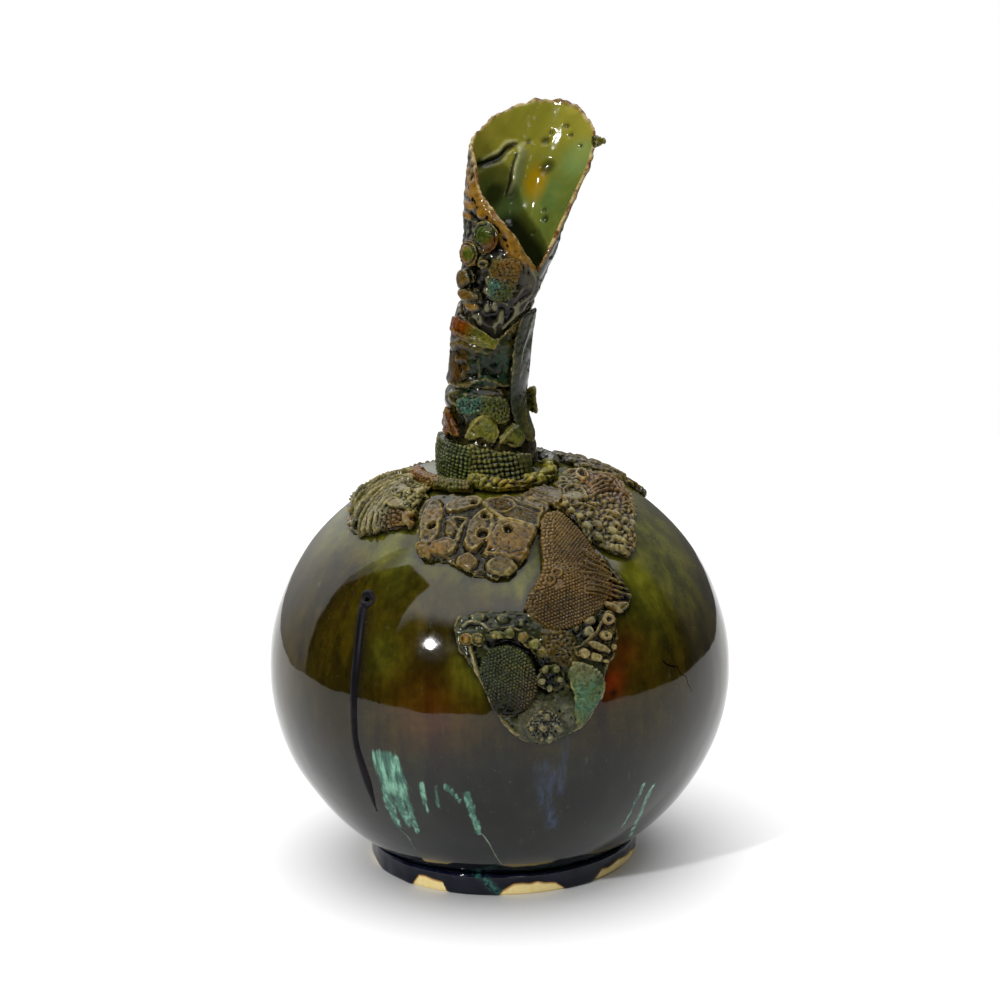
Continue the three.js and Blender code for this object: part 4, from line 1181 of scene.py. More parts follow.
def carve_scoop_outside(scoop):
    """Scales, nubs and folds on the front of the scoop, and its turned edge, which ran amber."""
    scoop.height = 1.0 * grain(scoop.points, 7, seed=33, octaves=3)
    scoop.crumple(6, 0.7, seed=37)
    scoop.pebbles(4.2, 1.4, seed=38, jitter=0.9, stretch=1.4, turn=30, mask=smooth(scoop.x, -9, -15))
    scoop.lumps(
        ((466, 201), (477, 208), 4.6, 1.9, 1.0),
        ((467, 211), (474, 219), 4.6, 1.9, 1.0),
        ((477, 210), (486, 218), 4.6, 1.8, 1.0),
        ((470, 188), (476, 197), 4.4, 1.7, 0.8),
        ((480, 222), (486, 226), 4, 1.4, 0.7),
        ((486, 304), (489, 313), 3.8, 2.0),
        ((493, 303), (496, 313), 3.8, 2.0),
        ((500, 309), (503, 324), 4.8, 2.1),
        ((470, 295), (482, 301), 3.6, 1.9),
        ((464, 302), (480, 309), 5, 1.9, 0.8),
        ((462, 290), (468, 296), 4, 1.8, 0.5),
        ((484, 277), (489, 285), 4, 1.6),
        ((482, 287), (490, 293), 3.6, 1.6),
    )
    scoop.ridges(
        (((473, 180), (480, 202), (494, 220), (512, 236), (526, 250), (532, 268)), 3.0, 1.8, 0.9),
        (((484, 222), (494, 232), (502, 244), (506, 256)), 1.2, 1.4, 0, 0, 0.2),
        (((508, 234), (513, 245), (512, 256), (519, 262)), 3.6, 1.5, 0.9),
        (((523, 255), (526, 271), (522, 287), (513, 302)), 1.5, 1.8),
        (((528, 260), (531, 279), (526, 295), (512, 308)), 1.5, 1.8),
        (((518, 262), (521, 276), (517, 290), (508, 300)), 1.3, 1.6),
        (((517, 303), (513, 316), (504, 328)), 2.2, 1.8),
        (((524, 300), (520, 314), (512, 326)), 1.6, 1.5),
        (((484, 290), (494, 298), (508, 304)), 1.6, 1.7),
    )
    for px, py, radius in ((500, 246, 5), (479, 284, 5), (474, 272, 4), (490, 318, 5), (508, 316, 4)):
        scoop.sink(scoop.disc((px, py), radius), 1.3)
    turned_edge = scoop.path((471, 168), (477, 195), (492, 216), (508, 238), (520, 262))[0]
    scoop.paint(smooth(turned_edge, 6.5, 2), warm=0.85)
    scoop.warm = scoop.warm * smooth(scoop.out, 0.1, 0.5)


# Dents and pinholes inside the scoop: a pixel and a radius in mm.
DENTS = (
    (549, 167, 3.6),
    (547, 140, 2.0),
    (545, 219, 1.9),
    (528, 141, 1.3),
    (568, 126, 1.2),
    (572, 135, 1.1),
    (578, 146, 1.0),
    (553, 132, 1.0),
    (545, 210, 1.1),
    (534, 233, 0.9),
)


def carve_scoop_inside(scoop):
    """The lapped edge, a crease, two ridges and some dents, and the painted shade in there."""
    scoop.lay(NeckBed(170, 120, scoop_hollow, FAR_SIDE))
    scoop.height = 1.3 * grain(scoop.points, 11, seed=34, octaves=1)
    gap, along, left = scoop.path((514, 154), (510, 166), (508, 182), (503, 200))
    lapped = ~left * smooth(gap, 7.5, 1.5) * smooth(gap, 0.0, 0.8) * smooth(along, 1.0, 0.7)
    scoop.height += 2.2 * lapped
    scoop.paint(lapped, pale=0.8)
    # A painted shadow along the foot of the lapped edge.
    shade = 0.95 * np.exp(-((gap / 0.8) ** 2)) * smooth(along, 1.0, 0.8)
    gap, along, _ = scoop.path((482, 166), (490, 162), (499, 157), (505, 149), (513, 144))
    crease = np.exp(-((gap / (2.4 - 1.3 * along)) ** 2))
    scoop.height -= 2.4 * crease
    shade = np.maximum(shade, crease)
    scoop.ridge(((486, 160), (497, 152), (504, 143), (516, 141)), 1.6, 2.2)
    scoop.ridge(((513, 146), (522, 145), (527, 141), (532, 143)), 1.4, 2.0)
    for px, py, radius in DENTS:
        dent = np.exp(-(scoop.disc((px, py), radius) ** 4))
        scoop.height -= 1.2 * dent
        shade = np.maximum(shade, dent * 0.7)
    shade = np.maximum(shade, 0.75 * scoop.area((492, 194), 6))
    shade = np.maximum(shade, 0.3 * scoop.area((484, 180), 7, 0.8))
    # Painted shade down the throat.
    throat = scoop.path((508, 232), (524, 250), (536, 274))[0]
    shade = np.maximum(shade, 0.9 * smooth(throat, 13, 5))
    for px, py, radius, share in ((508, 208, 7, 0.4), (578, 158, 9, 0.5), (548, 196, 8, 0.15)):
        scoop.paint(scoop.area((px, py), radius), cool=share)
    return shade


def dress_scoop():
    scoop = Clay("neck_scoop", NeckBed(0, 120, scoop_radius), voxel=0.7, rounds=4, levels=1)
    scoop.facing = np.ones(len(scoop.x))
    inside = smooth(scoop.out, 0.0, -0.3)
    rim = smooth(np.abs(scoop.out), 0.85, 0.55) * smooth(scoop.points[:, 2], 300, 312)
    carve_scoop_outside(scoop)
    outside_height = scoop.height
    shade = carve_scoop_inside(scoop)
    scoop.height = outside_height * (1 - inside) + scoop.height * inside
    mesh = scoop.piece.data
    keep_value(mesh, "inside", inside)
    keep_value(mesh, "rim", rim)
    keep_value(mesh, "shade", shade)
    keep_value(mesh, "upper", smooth(scoop.points[:, 2], 345, 372))
    keep_value(mesh, "gold", 0.95 * smooth(scoop.oval((535, 164), (538, 200), 11), 1.5, 0.4))
    tattered = rim * (grain(scoop.points, 3.4, seed=30) - 0.35)
    scoop.shift[:, 2] = 2.2 * tattered + 1.6 * smooth(np.abs(scoop.x + 4), 14, 9) * rim
    scoop.bake(scoop_glaze(), "bark_glaze", base=-0.6, grit=0.12)


dress_tube_and_sleeve()
dress_scoop()

# Clay on the neck


def sprig(node, bed, material, slot, carve, voxel=0.4, levels=0, moved=(0, 0, 0), **baked):
    """A small piece that a function carves on its own bed, and then shifted by some mm."""
    clay = Clay(node, bed, voxel=voxel, rounds=2, levels=levels)
    clay.height = 0.4 * grain(clay.points, 2, seed=40)
    carve(clay)
    clay.shift += moved
    clay.bake(material, slot, **{"base": -0.3, "wander": 0.3, **baked})


def medallion(half_width, half_height, lean, warm, cool):
    """A pad in a thin ring: which of its spots, as pixels, went brown and which green."""

    def carve(clay):
        rho = clay.own(half_width, half_height, lean)
        clay.height -= 1.0
        clay.rim(rho / 0.84, 1.0, width=0.075)
        clay.lump(rho / 0.72, 1.3, flat=2.4)
        clay.paint(clay.area(*warm), warm=1.0)
        clay.paint(clay.area(*cool), cool=1.0)

    return carve


def plate(half_width, half_height, lean):
    """A domed scale with a dark edge."""

    def carve(clay):
        rho = clay.own(half_width, half_height, lean)
        clay.height -= 0.6
        clay.lump(rho / 0.86, 1.4, flat=3)
        clay.paint(smooth(rho, 0.8, 0.4), warm=0.75)

    return carve


def leaf(edge, hollow, green):
    """A leaf with a raised edge and a dark notch at its foot: the edge and the notch as pixels."""

    def carve(clay):
        clay.height += 0.5
        clay.ridge(edge, 1.2, 1.6)
        clay.sink(clay.disc(*hollow), 2.4)
        clay.paint(smooth(clay.disc(*green), 1.4, 0.3), cool=0.6)

    return carve


def pebbled(pitch, rise, turn=0.0, cool=None, warm=None, jitter=0.7, stretch=1.0):
    """Pebbles all over, with one spot of each tint as a pixel and a radius in mm."""

    def carve(clay):
        clay.pebbles(pitch, rise, seed=45, jitter=jitter, stretch=stretch, turn=turn)
        if cool:
            clay.paint(clay.area(*cool), cool=1.0)
        if warm:
            clay.paint(clay.area(*warm), warm=1.0)

    return carve


def smooth_strip(clay):
    """Even clay that thick glaze ran down, brown at its foot."""
    clay.height = clay.height * 0.4 + 1.3 * grain(clay.points, 13, seed=43)
    clay.ridge(((529, 312), (523, 334), (517, 352), (515, 376)), 1.6, 1.4, pale=0.2)
    clay.paint(clay.area((531, 424), 16, 0.6), cool=0.8)
    clay.paint(clay.area((535, 444), 9, 0.8), warm=1.0)


def ring(clay):
    """One small ring round a dark middle."""
    clay.rim(clay.own(1.7, 1.7), 1.4, width=0.35)


def thorn(clay):
    """A pinched point, drawn in toward the rim."""
    clay.crumple(3, 0.8, seed=46)
    clay.shift[:, 0] -= 3


def orange_band(clay):
    """Two ridges along a band that ran orange at its left end."""
    clay.height = clay.height * 0.6 + 0.5
    clay.ridges(
        (((456, 303), (464, 314), (477, 321), (490, 327), (498, 340)), 1.4, 1.5),
        (((457, 328), (466, 335), (480, 340), (494, 345)), 1.4, 1.4),
    )
    clay.paint(clay.area((460, 318), 11), warm=1.0)
    clay.paint(clay.area((488, 336), 9), cool=0.9)


def wing(clay):
    """Two raised edges that meet at a dark dot."""
    clay.height += 0.4
    clay.ridges(
        (((448, 408), (452, 424), (458, 438)), 1.3, 1.6),
        (((447, 412), (444, 428), (450, 431), (456, 439)), 1.2, 1.6),
    )
    clay.sink(clay.disc((449, 436), 2.4), 1.6)
    clay.paint(clay.area((449, 422), 12), warm=0.7)


def ear(clay):
    """A loop round a pale middle."""
    clay.height += 0.2
    rho = clay.own(2.2, 5.4)
    clay.rim(rho, 1.6, width=0.2)
    clay.paint(smooth(rho, 0.9, 0.5), pale=0.5)


def knots(pitch, rise, turn, stretch=1.0, drowned=None):
    """Rows of small beads, each with a dark gap round it, that drown in thick glaze round one spot."""

    def carve(clay):
        clay.height -= 0.7
        clay.net(pitch, rise, turn=turn, warp=0.12, stretch=stretch)
        if drowned:
            thick = clay.area(*drowned)
            clay.height = clay.height * (1 - 0.85 * thick) + thick * grain(clay.points, 6, seed=48)
            clay.paint(thick, pale=0.2)

    return carve


def dress_sprigs_on_neck():
    bed = NeckBed(-33, 116, scoop_radius)
    carved = medallion(6.6, 8.6, 24, ((493, 247), 5), ((484, 233), 5))
    sprig("medallion_large", bed, moss_glaze, "amber_glaze", carved)
    bed = NeckBed(-53, 107, scoop_radius)
    carved = medallion(5.6, 6.6, 30, ((468, 252), 5), ((476, 252), 3))
    sprig("medallion_small", bed, coil_glaze, "amber_glaze", carved)
    sprig("ring_bead", NeckBed(-30, 102.6, scoop_radius), neck_glaze, "moss_glaze", ring)
    bed = NeckBed(-57, 94, scoop_radius)
    sprig("scale_plate_upper", bed, neck_glaze, "amber_glaze", plate(5.4, 6.2, -20))
    bed = NeckBed(-46, 86.5, scoop_radius)
    sprig("scale_plate_lower", bed, neck_glaze, "amber_glaze", plate(7.4, 3.4, -8))
    carved = pebbled(1.8, 1.1, warm=((508, 270), 8), cool=((494, 288), 5))
    sprig("pebble_patch", NeckBed(0, 97, scoop_radius), bead_glaze, "moss_glaze", carved)
    sprig("neck_band", NeckBed(-36, 67, sleeve_radius), amber_glaze, "amber_glaze", orange_band)
    sprig(
        "neck_side_slab",
        NeckBed(62, 50, sleeve_radius),
        slip_glaze,
        "moss_glaze",
        smooth_strip,
        levels=1,
        base=-0.7,
        ragged=0.6,
        melt=8,
        grit=0.1,
    )
    bed = NeckBed(165, 128, scoop_radius)
    sprig("back_plate_high", bed, tan_glaze, "bark_glaze", pebbled(4, 1.2, stretch=1.6))
    bed = NeckBed(-155, 62, sleeve_radius)
    sprig("back_plate_low", bed, moss_glaze, "moss_glaze", pebbled(3, 1.1))
    sprig("rim_thorn", NeckBed(107, 158, scoop_radius), sand_glaze, "moss_glaze", thorn, base=1.0)
    edge = ((468, 440), (472, 428), (480, 418), (490, 416), (497, 426), (496, 436), (490, 446))
    carved = leaf(edge, ((481, 443), 2.8), ((489, 427), 3))
    sprig("leaf_left", NeckBed(-8, 18, tube_radius), sand_glaze, "sand_glaze", carved)
    edge = ((499, 442), (507, 432), (517, 424), (524, 428), (523, 439), (516, 449), (509, 450))
    carved = leaf(edge, ((508, 444), 2.6), ((515, 432), 3))
    sprig("leaf_right", NeckBed(36, 14.5, tube_radius), sand_glaze, "sand_glaze", carved)
    sprig("wing_sprig", NeckBed(-64, 18, tube_radius), amber_glaze, "amber_glaze", wing)
    carved = pebbled(1.9, 1.1, turn=20, cool=((469, 402), 6.5))
    sprig("pebble_band", NeckBed(-2, 30, tube_radius), bead_glaze, "jade_glaze", carved)
    bed = NeckBed(97, 28, tube_radius)
    sprig("side_lug", bed, sand_glaze, "moss_glaze", ear, levels=2, base=0.5)
    bed = NeckBed(-60, 5, tube_radius)
    sprig("net_collar_left", bed, net_glaze, "moss_glaze", knots(1.9, 1.7, turn=-10), melt=1)
    carved = knots(2.0, 1.8, turn=4, stretch=1.3, drowned=((524, 458), 9))
    sprig("net_collar_right", NeckBed(12, 5, tube_radius), bead_glaze, "moss_glaze", carved, melt=1)


dress_sprigs_on_neck()

# Clay on the shoulder


def dress_cells():
    """Cells of many sizes with dark holes, and wide valleys of grey-green glaze between them."""
    clay = Clay("cell_slab", GlobeBed(-9, 76), waver=1.8)
    clay.height = 0.7 * grain(clay.points, 4, seed=41, octaves=3) - 1.1
    clay.lumps(
        ((436, 504), (428, 545), 9, 1.5),
        ((447, 510), (480, 502), 8, 1.5),
        ((433, 548), (456, 548), 9, 1.7),
        ((488, 512), (472, 550), 10, 1.5),
        ((514, 522), (509, 556), 21, 1.4, 0.3),
        ((488, 566), (516, 570), 8, 1.6),
        ((458, 562), (476, 563), 8.4, 1.8, 0.6),
        ((419, 545), (430, 557), 5.4, 1.5, 0.8),
        ((450, 536), (453, 521), 4.4, 1.0),
        rimmed=0.5,
    )
    clay.ridges(
        (((448, 523), (458, 532), (456, 542)), 2.4, 1.6),
        (((468, 522), (461, 532), (459, 542)), 2.4, 1.6),
        (((448, 523), (458, 519), (468, 522)), 2.4, 1.5),
        (((487, 556), (503, 557), (519, 560)), 3.2, 2.2),
        (((500, 520), (518, 519), (536, 531), (533, 546), (524, 558)), 2.6, 2.1),
        (((503, 522), (494, 538), (487, 553)), 2.6, 2.0),
    )
    clay.groove(((490, 512), (488, 530), (480, 552)), 1.6, 1.0)
    holes = ((433, 528.5, 1.9), (474, 505, 1.1), (486, 518, 2), (483, 536, 2), (508, 532, 2))
    for px, py, radius in holes:
        hole = clay.disc((px, py), radius)
        clay.rim(hole / 1.5, 2.1, width=0.28)
        clay.sink(hole, 3.2)
    for px, py, radius in ((434, 517, 4), (438, 551, 6), (468, 562, 4), (490, 548, 5), (522, 545, 11)):
        clay.paint(clay.area((px, py), radius), warm=0.95)
    clay.crumple(3.2, 0.5, seed=61, mask=clay.area((521, 545), 9))
    clay.bake(tan_glaze, "bark_glaze", base=-0.2, ragged=1.5, melt=3, grit=0.9)


def dress_ribs():
    """Ribs side by side, with an oval of fine print and a patch of scales between them."""
    clay = Clay("ribbed_slab", GlobeBed(9, 64), waver=1.8)
    clay.height = 0.7 * grain(clay.points, 3, seed=42, octaves=3) - 0.3
    netted = smooth(clay.oval((487, 505), (512, 508), 9), 1.15, 0.85)
    clay.pebbles(1.5, 1.2, seed=46, jitter=0.2, mask=netted)
    clay.rim(clay.oval((485, 505), (514, 508), 10), 1.5, width=0.13)
    clay.paint(netted, warm=0.85)
    scaled = smooth(clay.oval((517, 515), (542, 519), 7), 1.2, 0.8)
    clay.pebbles(1.3, 1.0, seed=47, mask=scaled)
    clay.paint(scaled, warm=0.5)
    clay.ridges(
        (((519, 494), (533, 497), (546, 502)), 2.1, 1.8, 0, 0, 0.2),
        (((483, 504), (492, 513), (504, 520), (520, 524), (535, 528)), 2.2, 1.7),
        (((512, 500), (524, 506), (541, 511)), 1.6, 1.4),
        (((514, 507), (526, 511), (541, 516)), 1.3, 1.2),
        (((497, 495), (508, 497), (518, 502)), 1.6, 1.4),
        (((543, 508), (539, 518), (537, 528)), 1.8, 1.5),
    )
    clay.bake(tan_glaze, "bark_glaze", ragged=1.4)


def dress_fold():
    """A soft fold with ribs along its upper edge."""
    clay = Clay("cloth_fold", GlobeBed(27, 54), waver=1.8)
    clay.height = 0.6 * grain(clay.points, 7, seed=44, octaves=3)
    clay.crumple(8, 0.4, seed=62)
    clay.ridges(
        (((517, 494), (531, 499), (547, 506)), 1.7, 1.9, 0, 0, 0.25),
        (((519, 486), (532, 489), (546, 495)), 1.5, 1.3),
        (((523, 480), (535, 481), (545, 486)), 1.4, 1.3),
        (((516, 490), (530, 494), (548, 500)), 1.2, 1.1),
    )
    clay.paint(clay.area((531, 491), 9), warm=0.6)
    clay.bake(tan_glaze, "bark_glaze", ragged=1.6)


def dress_feather():
    """Strands that were combed to the left and fall over the edge as a fringe."""
    clay = Clay("feather_slab", GlobeBed(-60, 62), waver=1.0)
    clay.height = 0.5 * grain(clay.points, 3, seed=45, octaves=3) - 1.6
    clay.pebbles(2.8, 1.1, seed=68, jitter=0.9, mask=clay.area((410, 502), 17))
    flow = (
        ((424, 465), (404, 466), (386, 472), (366, 485), (349, 503)),
        ((418, 473), (400, 476), (384, 484), (364, 500), (351, 526)),
        ((409, 482), (396, 487), (383, 497), (369, 514), (359, 538)),
        ((402, 492), (392, 497), (382, 506), (374, 520), (370, 540)),
        ((397, 500), (391, 504), (386, 511), (382, 521), (380, 534)),
    )
    clay.comb(flow, 16, 1.2, 1.2, seed=6, wobble=3.2)
    clay.comb(flow, 14, 1.7, 2.2, 0.0, 0.0, 0.12, seed=7, wobble=1.9)
    fringed = smooth(clay.path((346, 522), (358, 534), (374, 534))[0], 9, 3)
    clay.height -= 1.0 * fringed * smooth(clay.height, 1.0, 0.3)
    clay.paint(fringed, pale=0.3)
    clay.lumps(
        ((391, 503), (403, 508), 5.4, 1.7, 0.4),
        ((399, 487), (410, 494), 4.6, 1.6),
        ((417, 504), (431, 500), 4.4, 1.9),
        ((406, 516), (416, 524), 6.2, 2.1, 1.0),
        ((415, 493), (426, 490), 3.8, 1.7),
        ((352, 490), (358, 492), 3.0, 1.8, 0, 1.0),
        ((424, 509), (433, 512), 3.6, 1.6),
        rimmed=0.35,
    )
    clay.beads(((403, 510), (411, 501), (421, 494)), 2.1, 2.8, 2.1)
    clay.ridge(((374, 533), (389, 530), (404, 524)), 2.6, 1.7, warm=0.9)
    clay.paint(clay.area((396, 520), 7), warm=0.9)
    clay.sink(clay.disc((411, 520), 1.3), 1.4)
    clay.bake(fibre_glaze, "sand_glaze", base=-0.3, ragged=1.8, melt=1)


def dress_scales():
    """Curls, petals, beads and stripes, laid close beside each other."""
    clay = Clay("scale_slab", GlobeBed(48, 70), waver=1.6)
    clay.height = 0.6 * grain(clay.points, 4, seed=47, octaves=3) - 1.2
    clay.pebbles(2.8, 0.4, seed=69, jitter=0.9, stretch=1.5, turn=25)
    clay.nested(((567, 464), (580, 460), (601, 467), (614, 475), (621, 484)), (-1.5, 4.0), 3, 1.6, 1.6, 0.6)
    clay.nested(((589, 486), (601, 480), (614, 480), (622, 485)), (0.5, 3.8), 4, 1.6, 1.6, 0.85)
    clay.nested(((552, 474), (565, 472), (578, 474)), (0.5, 4.0), 4, 1.2, 1.2, 0.0, 0.85)
    clay.nested(((619, 489), (624, 491), (630, 496)), (1.2, 4.6), 5, 1.3, 1.5)
    clay.ridges(
        (((558, 496), (567, 487), (578, 487), (586, 499)), 1.5, 1.6),
        (((563, 512), (570, 522), (580, 534), (594, 546), (614, 551), (625, 548)), 2.8, 1.7, 0, 0, 0.2),
        (((622, 551), (630, 556)), 2.6, 1.6),
        (((569, 507), (563, 499), (560, 490)), 1.3, 1.4),
    )
    clay.lumps(
        ((563, 498), (584, 497), 7.4, 0.9, 0, 0, 0.3),
        ((575, 515), (582, 521), 4.0, 1.7),
        ((584, 514), (592, 519), 3.6, 1.6),
        ((583, 523), (592, 531), 4.4, 1.7),
        ((593, 522), (601, 531), 4.4, 1.7, 0.7),
        ((605, 510), (610, 515), 3.0, 1.6),
        ((609, 512), (619, 518), 4.0, 1.6),
        ((602, 517), (614, 522), 3.4, 1.5),
        ((611, 523), (621, 528), 3.2, 1.6),
        ((605, 529), (618, 536), 4.2, 1.6),
        ((609, 537), (627, 545), 4.4, 1.7),
        ((594, 534), (603, 541), 3.4, 1.5),
        ((620, 519), (627, 523), 3.6, 1.5, 0, 0.6, 0.25),
        ((628, 521), (634, 528), 3.4, 1.5, 0, 0.6, 0.25),
        ((621, 527), (629, 534), 3.6, 1.5, 0, 0.6, 0.25),
        ((597, 497), (601, 500), 2.8, 1.8),
        ((603, 495), (608, 498), 2.8, 1.8),
        ((600, 503), (606, 505), 2.8, 1.7),
        ((609, 500), (613, 504), 2.8, 1.7),
        ((568, 510), (575, 514), 3.0, 1.5),
        ((588, 505), (598, 507), 3.0, 1.5),
    )
    curl = clay.oval((582.5, 469), (582.5, 480), 5)
    clay.rim(curl, 2.2, width=0.22)
    clay.sink(curl / 0.6, 1.6)
    clay.beads(((562, 504), (571, 508), (580, 506), (595, 511)), 1.8, 2.2, 1.9)
    clay.beads(((567, 516), (576, 528), (588, 539), (602, 546), (618, 548)), 2.0, 2.4, 2.3)
    clay.paint(clay.area((604, 486), 13), warm=0.7)
    clay.paint(clay.area((600, 540), 12), cool=0.35)
    clay.bake(scale_glaze, "moss_glaze", base=-0.3, ragged=1.5)


# The fingers that were combed out to the right, from the tongue over the frill: guides as pixels.
FINGERS = (
    ((580, 545), (594, 555), (610, 566)),
    ((577, 558), (593, 566), (613, 575)),
    ((577, 572), (598, 577), (624, 585)),
    ((577, 583), (600, 587), (632, 597)),
    ((577, 593), (596, 596), (616, 601)),
)


def dress_snakeskin():
    """A fine printed net that ran brown and amber, with larger scales down its left edge."""
    clay = Clay("snakeskin_slab", GlobeBed(21, 102), voxel=0.33, waver=0.6)
    clay.height = 0.5 * grain(clay.points, 9, seed=48) - 0.8
    lower = clay.area((566, 606), 19, 0.5)
    clay.pebbles(1.4, 0.55, seed=49, jitter=0.1, turn=42, mask=1 - lower)
    clay.pebbles(1.55, 0.75, seed=50, jitter=0.15, turn=12, mask=lower)
    gap = clay.path((546, 520), (545, 545), (546, 565), (541, 583), (529, 600), (528, 614))[0]
    clay.pebbles(2.0, 1.2, seed=70, jitter=0.5, mask=smooth(gap, 4.2, 3.0))
    bare = smooth(clay.oval((551, 584), (563, 584), 6.5), 1.25, 0.8)
    clay.height = clay.height * (1 - bare) + 0.25 * bare
    clay.rim(clay.disc((556, 574), 2.2), 1.7, width=0.3)
    clay.rim(clay.disc((549, 581), 2.1), 1.7, width=0.3)
    clay.ridge(((576, 528), (592, 547), (609, 567)), 1.8, 1.6)
    clay.comb(FINGERS, 15, 1.0, 0.5, 0.6, seed=8, wobble=2.0)
    clay.comb(FINGERS, 9, 1.4, 1.8, 0.4, seed=9, wobble=1.6)
    for px, py, radius, warmth in (
        (586, 560, 13, 1.0),
        (568, 603, 19, 0.8),
        (583, 537, 9, 0.8),
        (546, 616, 10, 0.9),
        (594, 590, 12, 0.9),
    ):
        clay.paint(clay.area((px, py), radius, 0.7), warm=warmth)
    clay.bake(skin_glaze, "bark_glaze", base=-0.1, crest=0.8, ragged=1.2, melt=1, grit=0.3)


def dress_frill():
    """Fingers of clay combed out to the right over the globe."""
    clay = Clay("frill_slab", GlobeBed(34, 112), voxel=0.42, waver=1.2)
    clay.height = 0.4 * grain(clay.points, 3, seed=49) - 1.8
    clay.comb(FINGERS, 15, 1.0, 0.4, seed=8, wobble=2.0)
    clay.comb(FINGERS, 9, 1.5, 2.1, 0.0, 0.0, 0.2, seed=9, wobble=1.6)
    clay.lump(clay.oval((603, 605), (638, 610), 6), 0.9)
    clay.ridge(((600, 602), (612, 606), (622, 612), (638, 610)), 2.0, 1.8, pale=0.3)
    clay.paint(clay.area((584, 586), 15), warm=0.9)
    clay.bake(frill_glaze, "amber_glaze", base=-0.1, ragged=1.8)


def dress_shield():
    """The ground that the sprigs stand on: pebbles, a raised edge, and hollows where sprigs sit."""
    clay = Clay("shield_slab", GlobeBed(10, 153), voxel=0.6)
    clay.height = 0.5 * grain(clay.points, 8, seed=51) - 0.3
    clay.ridges(
        (((470, 646), (475, 664), (485, 690), (497, 715), (517, 735)), 1.7, 1.6, 0, 0, 0.45),
        (((601, 680), (600, 700), (590, 716), (575, 731)), 1.6, 1.5, 0, 0, 0.35),
        (((462, 626), (470, 621), (482, 624), (491, 630), (512, 627)), 1.2, 1.6, 0, 0, 0.6),
        (((614, 614), (612, 640), (606, 668)), 1.5, 1.3, 0, 0, 0.25),
    )
    clay.lumps(
        ((471, 619), (484, 617), 4.4, 1.2, 0, 0.2),
        ((497, 617), (508, 620), 4.2, 1.2, 0, 0.2),
        rimmed=0.3,
    )
    clay.pebbles(1.5, 1.0, seed=52, mask=smooth(clay.oval((521, 712), (560, 730), 18), 1.15, 0.85))
    grounds = smooth(clay.oval((546, 628), (574, 664), 15), 1.2, 0.85)
    clay.pebbles(2.0, 1.5, seed=53, mask=grounds)
    clay.paint(grounds, warm=0.6)
    clay.groove(((490, 644), (508, 641), (524, 647), (536, 657), (541, 668)), 3.6, 1.8)
    clay.sink(clay.oval((496, 704), (530, 700), 14), 1.5)
    clay.sink(clay.disc((549, 678), 8.8), 1.5)
    clay.sink(clay.oval((572, 624), (603, 630), 15), 1.2)
    clay.pebbles(1.5, 0.8, seed=74, mask=smooth(clay.oval((558, 682), (566, 699), 9), 1.1, 0.8))
    clay.lumps(
        ((583, 632), (595, 632), 6.0, 1.6, 0, 0, 0.7),
        ((582, 620), (596, 620), 5.4, 1.4, 0.5, 0, 0.3),
        ((574, 627), (580, 628), 3.4, 1.2, 0.7),
        ((517, 621), (525, 624), 4.4, 1.3, 0, 0.3),
        ((529, 612), (537, 617), 4.4, 1.3, 0.4, 0.3),
        flat=7.0,
    )
    clay.paint(clay.area((541, 722), 11), pale=0.3)
    clay.paint(clay.area((568, 716), 6), cool=0.5, pale=0.3)
    clay.bake(shield_glaze, "jade_glaze", base=-0.2, ragged=1.2)


def arc_of_beads(clay):
    """Fat beads that touch, in an arc over the disc."""
    clay.height -= 1.0
    middles = ((497, 636), (509, 634), (523, 638), (534, 645), (542, 652), (549, 656))
    for (px, py), warmth in zip(middles, (0, 0, 0.6, 0, 0.5, 0)):
        rho = clay.disc((px, py), 2.5)
        clay.lump(rho, 1.9, flat=2.4, warm=warmth)
        clay.rim(rho, 1.1, width=0.12)


def rosette(radius, grounds, *beads):
    """Beads in a dark hollow: for each its start, its end, its width and how green and how pale it is."""

    def carve(clay):
        clay.height -= 1.6
        if grounds:
            clay.pebbles(1.4, 0.7, seed=63)
            clay.paint(1.0, pale=0.25)
        for start, end, width, green, light in beads:
            clay.lump(clay.oval(start, end, width), 1.7, cool=green, pale=light)
        clay.rim(clay.own(radius, radius), 0.3, width=0.08)

    return carve


def tiles(clay):
    """Tiles of many shapes with narrow dark joints, one with a hole and one with a dot."""
    clay.height -= 1.2
    clay.lumps(
        ((577, 653), (589, 654), 5.0, 1.2),
        ((589, 657), (600, 659), 5.0, 1.2),
        ((603, 660), (606, 672), 4.4, 1.2),
        ((587, 642), (608, 652), 3.6, 1.2),
        ((575, 641), (582, 642), 3.4, 1.1),
        ((584, 631), (594, 631), 4.6, 1.3, 0, 0, 0.4),
        ((584, 619), (595, 621), 3.8, 1.1, 0.3),
        ((598, 634), (610, 637), 4.6, 1.3),
        ((600, 617), (612, 622), 5.4, 1.3, 0.2),
        ((596, 608), (604, 611), 3.2, 1.0),
        ((611, 645), (614, 651), 2.6, 1.0),
        flat=9.0,
    )
    clay.sink(clay.disc((607, 620), 1.4), 1.6)
    clay.sink(clay.disc((604, 636), 0.7), 0.8)


def petal(clay):
    """A petal that ran jade, with a row of beads over its top."""
    clay.height += 0.5
    clay.beads(((570, 665), (577, 662), (584, 663), (593, 669), (601, 678)), 2.0, 2.6, 1.6)
    clay.paint(clay.area((586, 696), 10), cool=1.0)
    clay.paint(clay.area((584, 668), 7), pale=0.35)
    clay.ridge(((602, 682), (597, 701), (586, 720)), 1.4, 1.4, pale=0.4)
    clay.groove(((571, 672), (576, 690), (578, 706)), 3.0, 0.3)


def knob(clay):
    """A bead in a ring."""
    clay.height -= 0.4
    clay.lump(clay.own(1.8, 1.8), 1.4, flat=2.2, warm=0.4)
    clay.rim(clay.own(2.6, 2.6), 1.3, width=0.16)


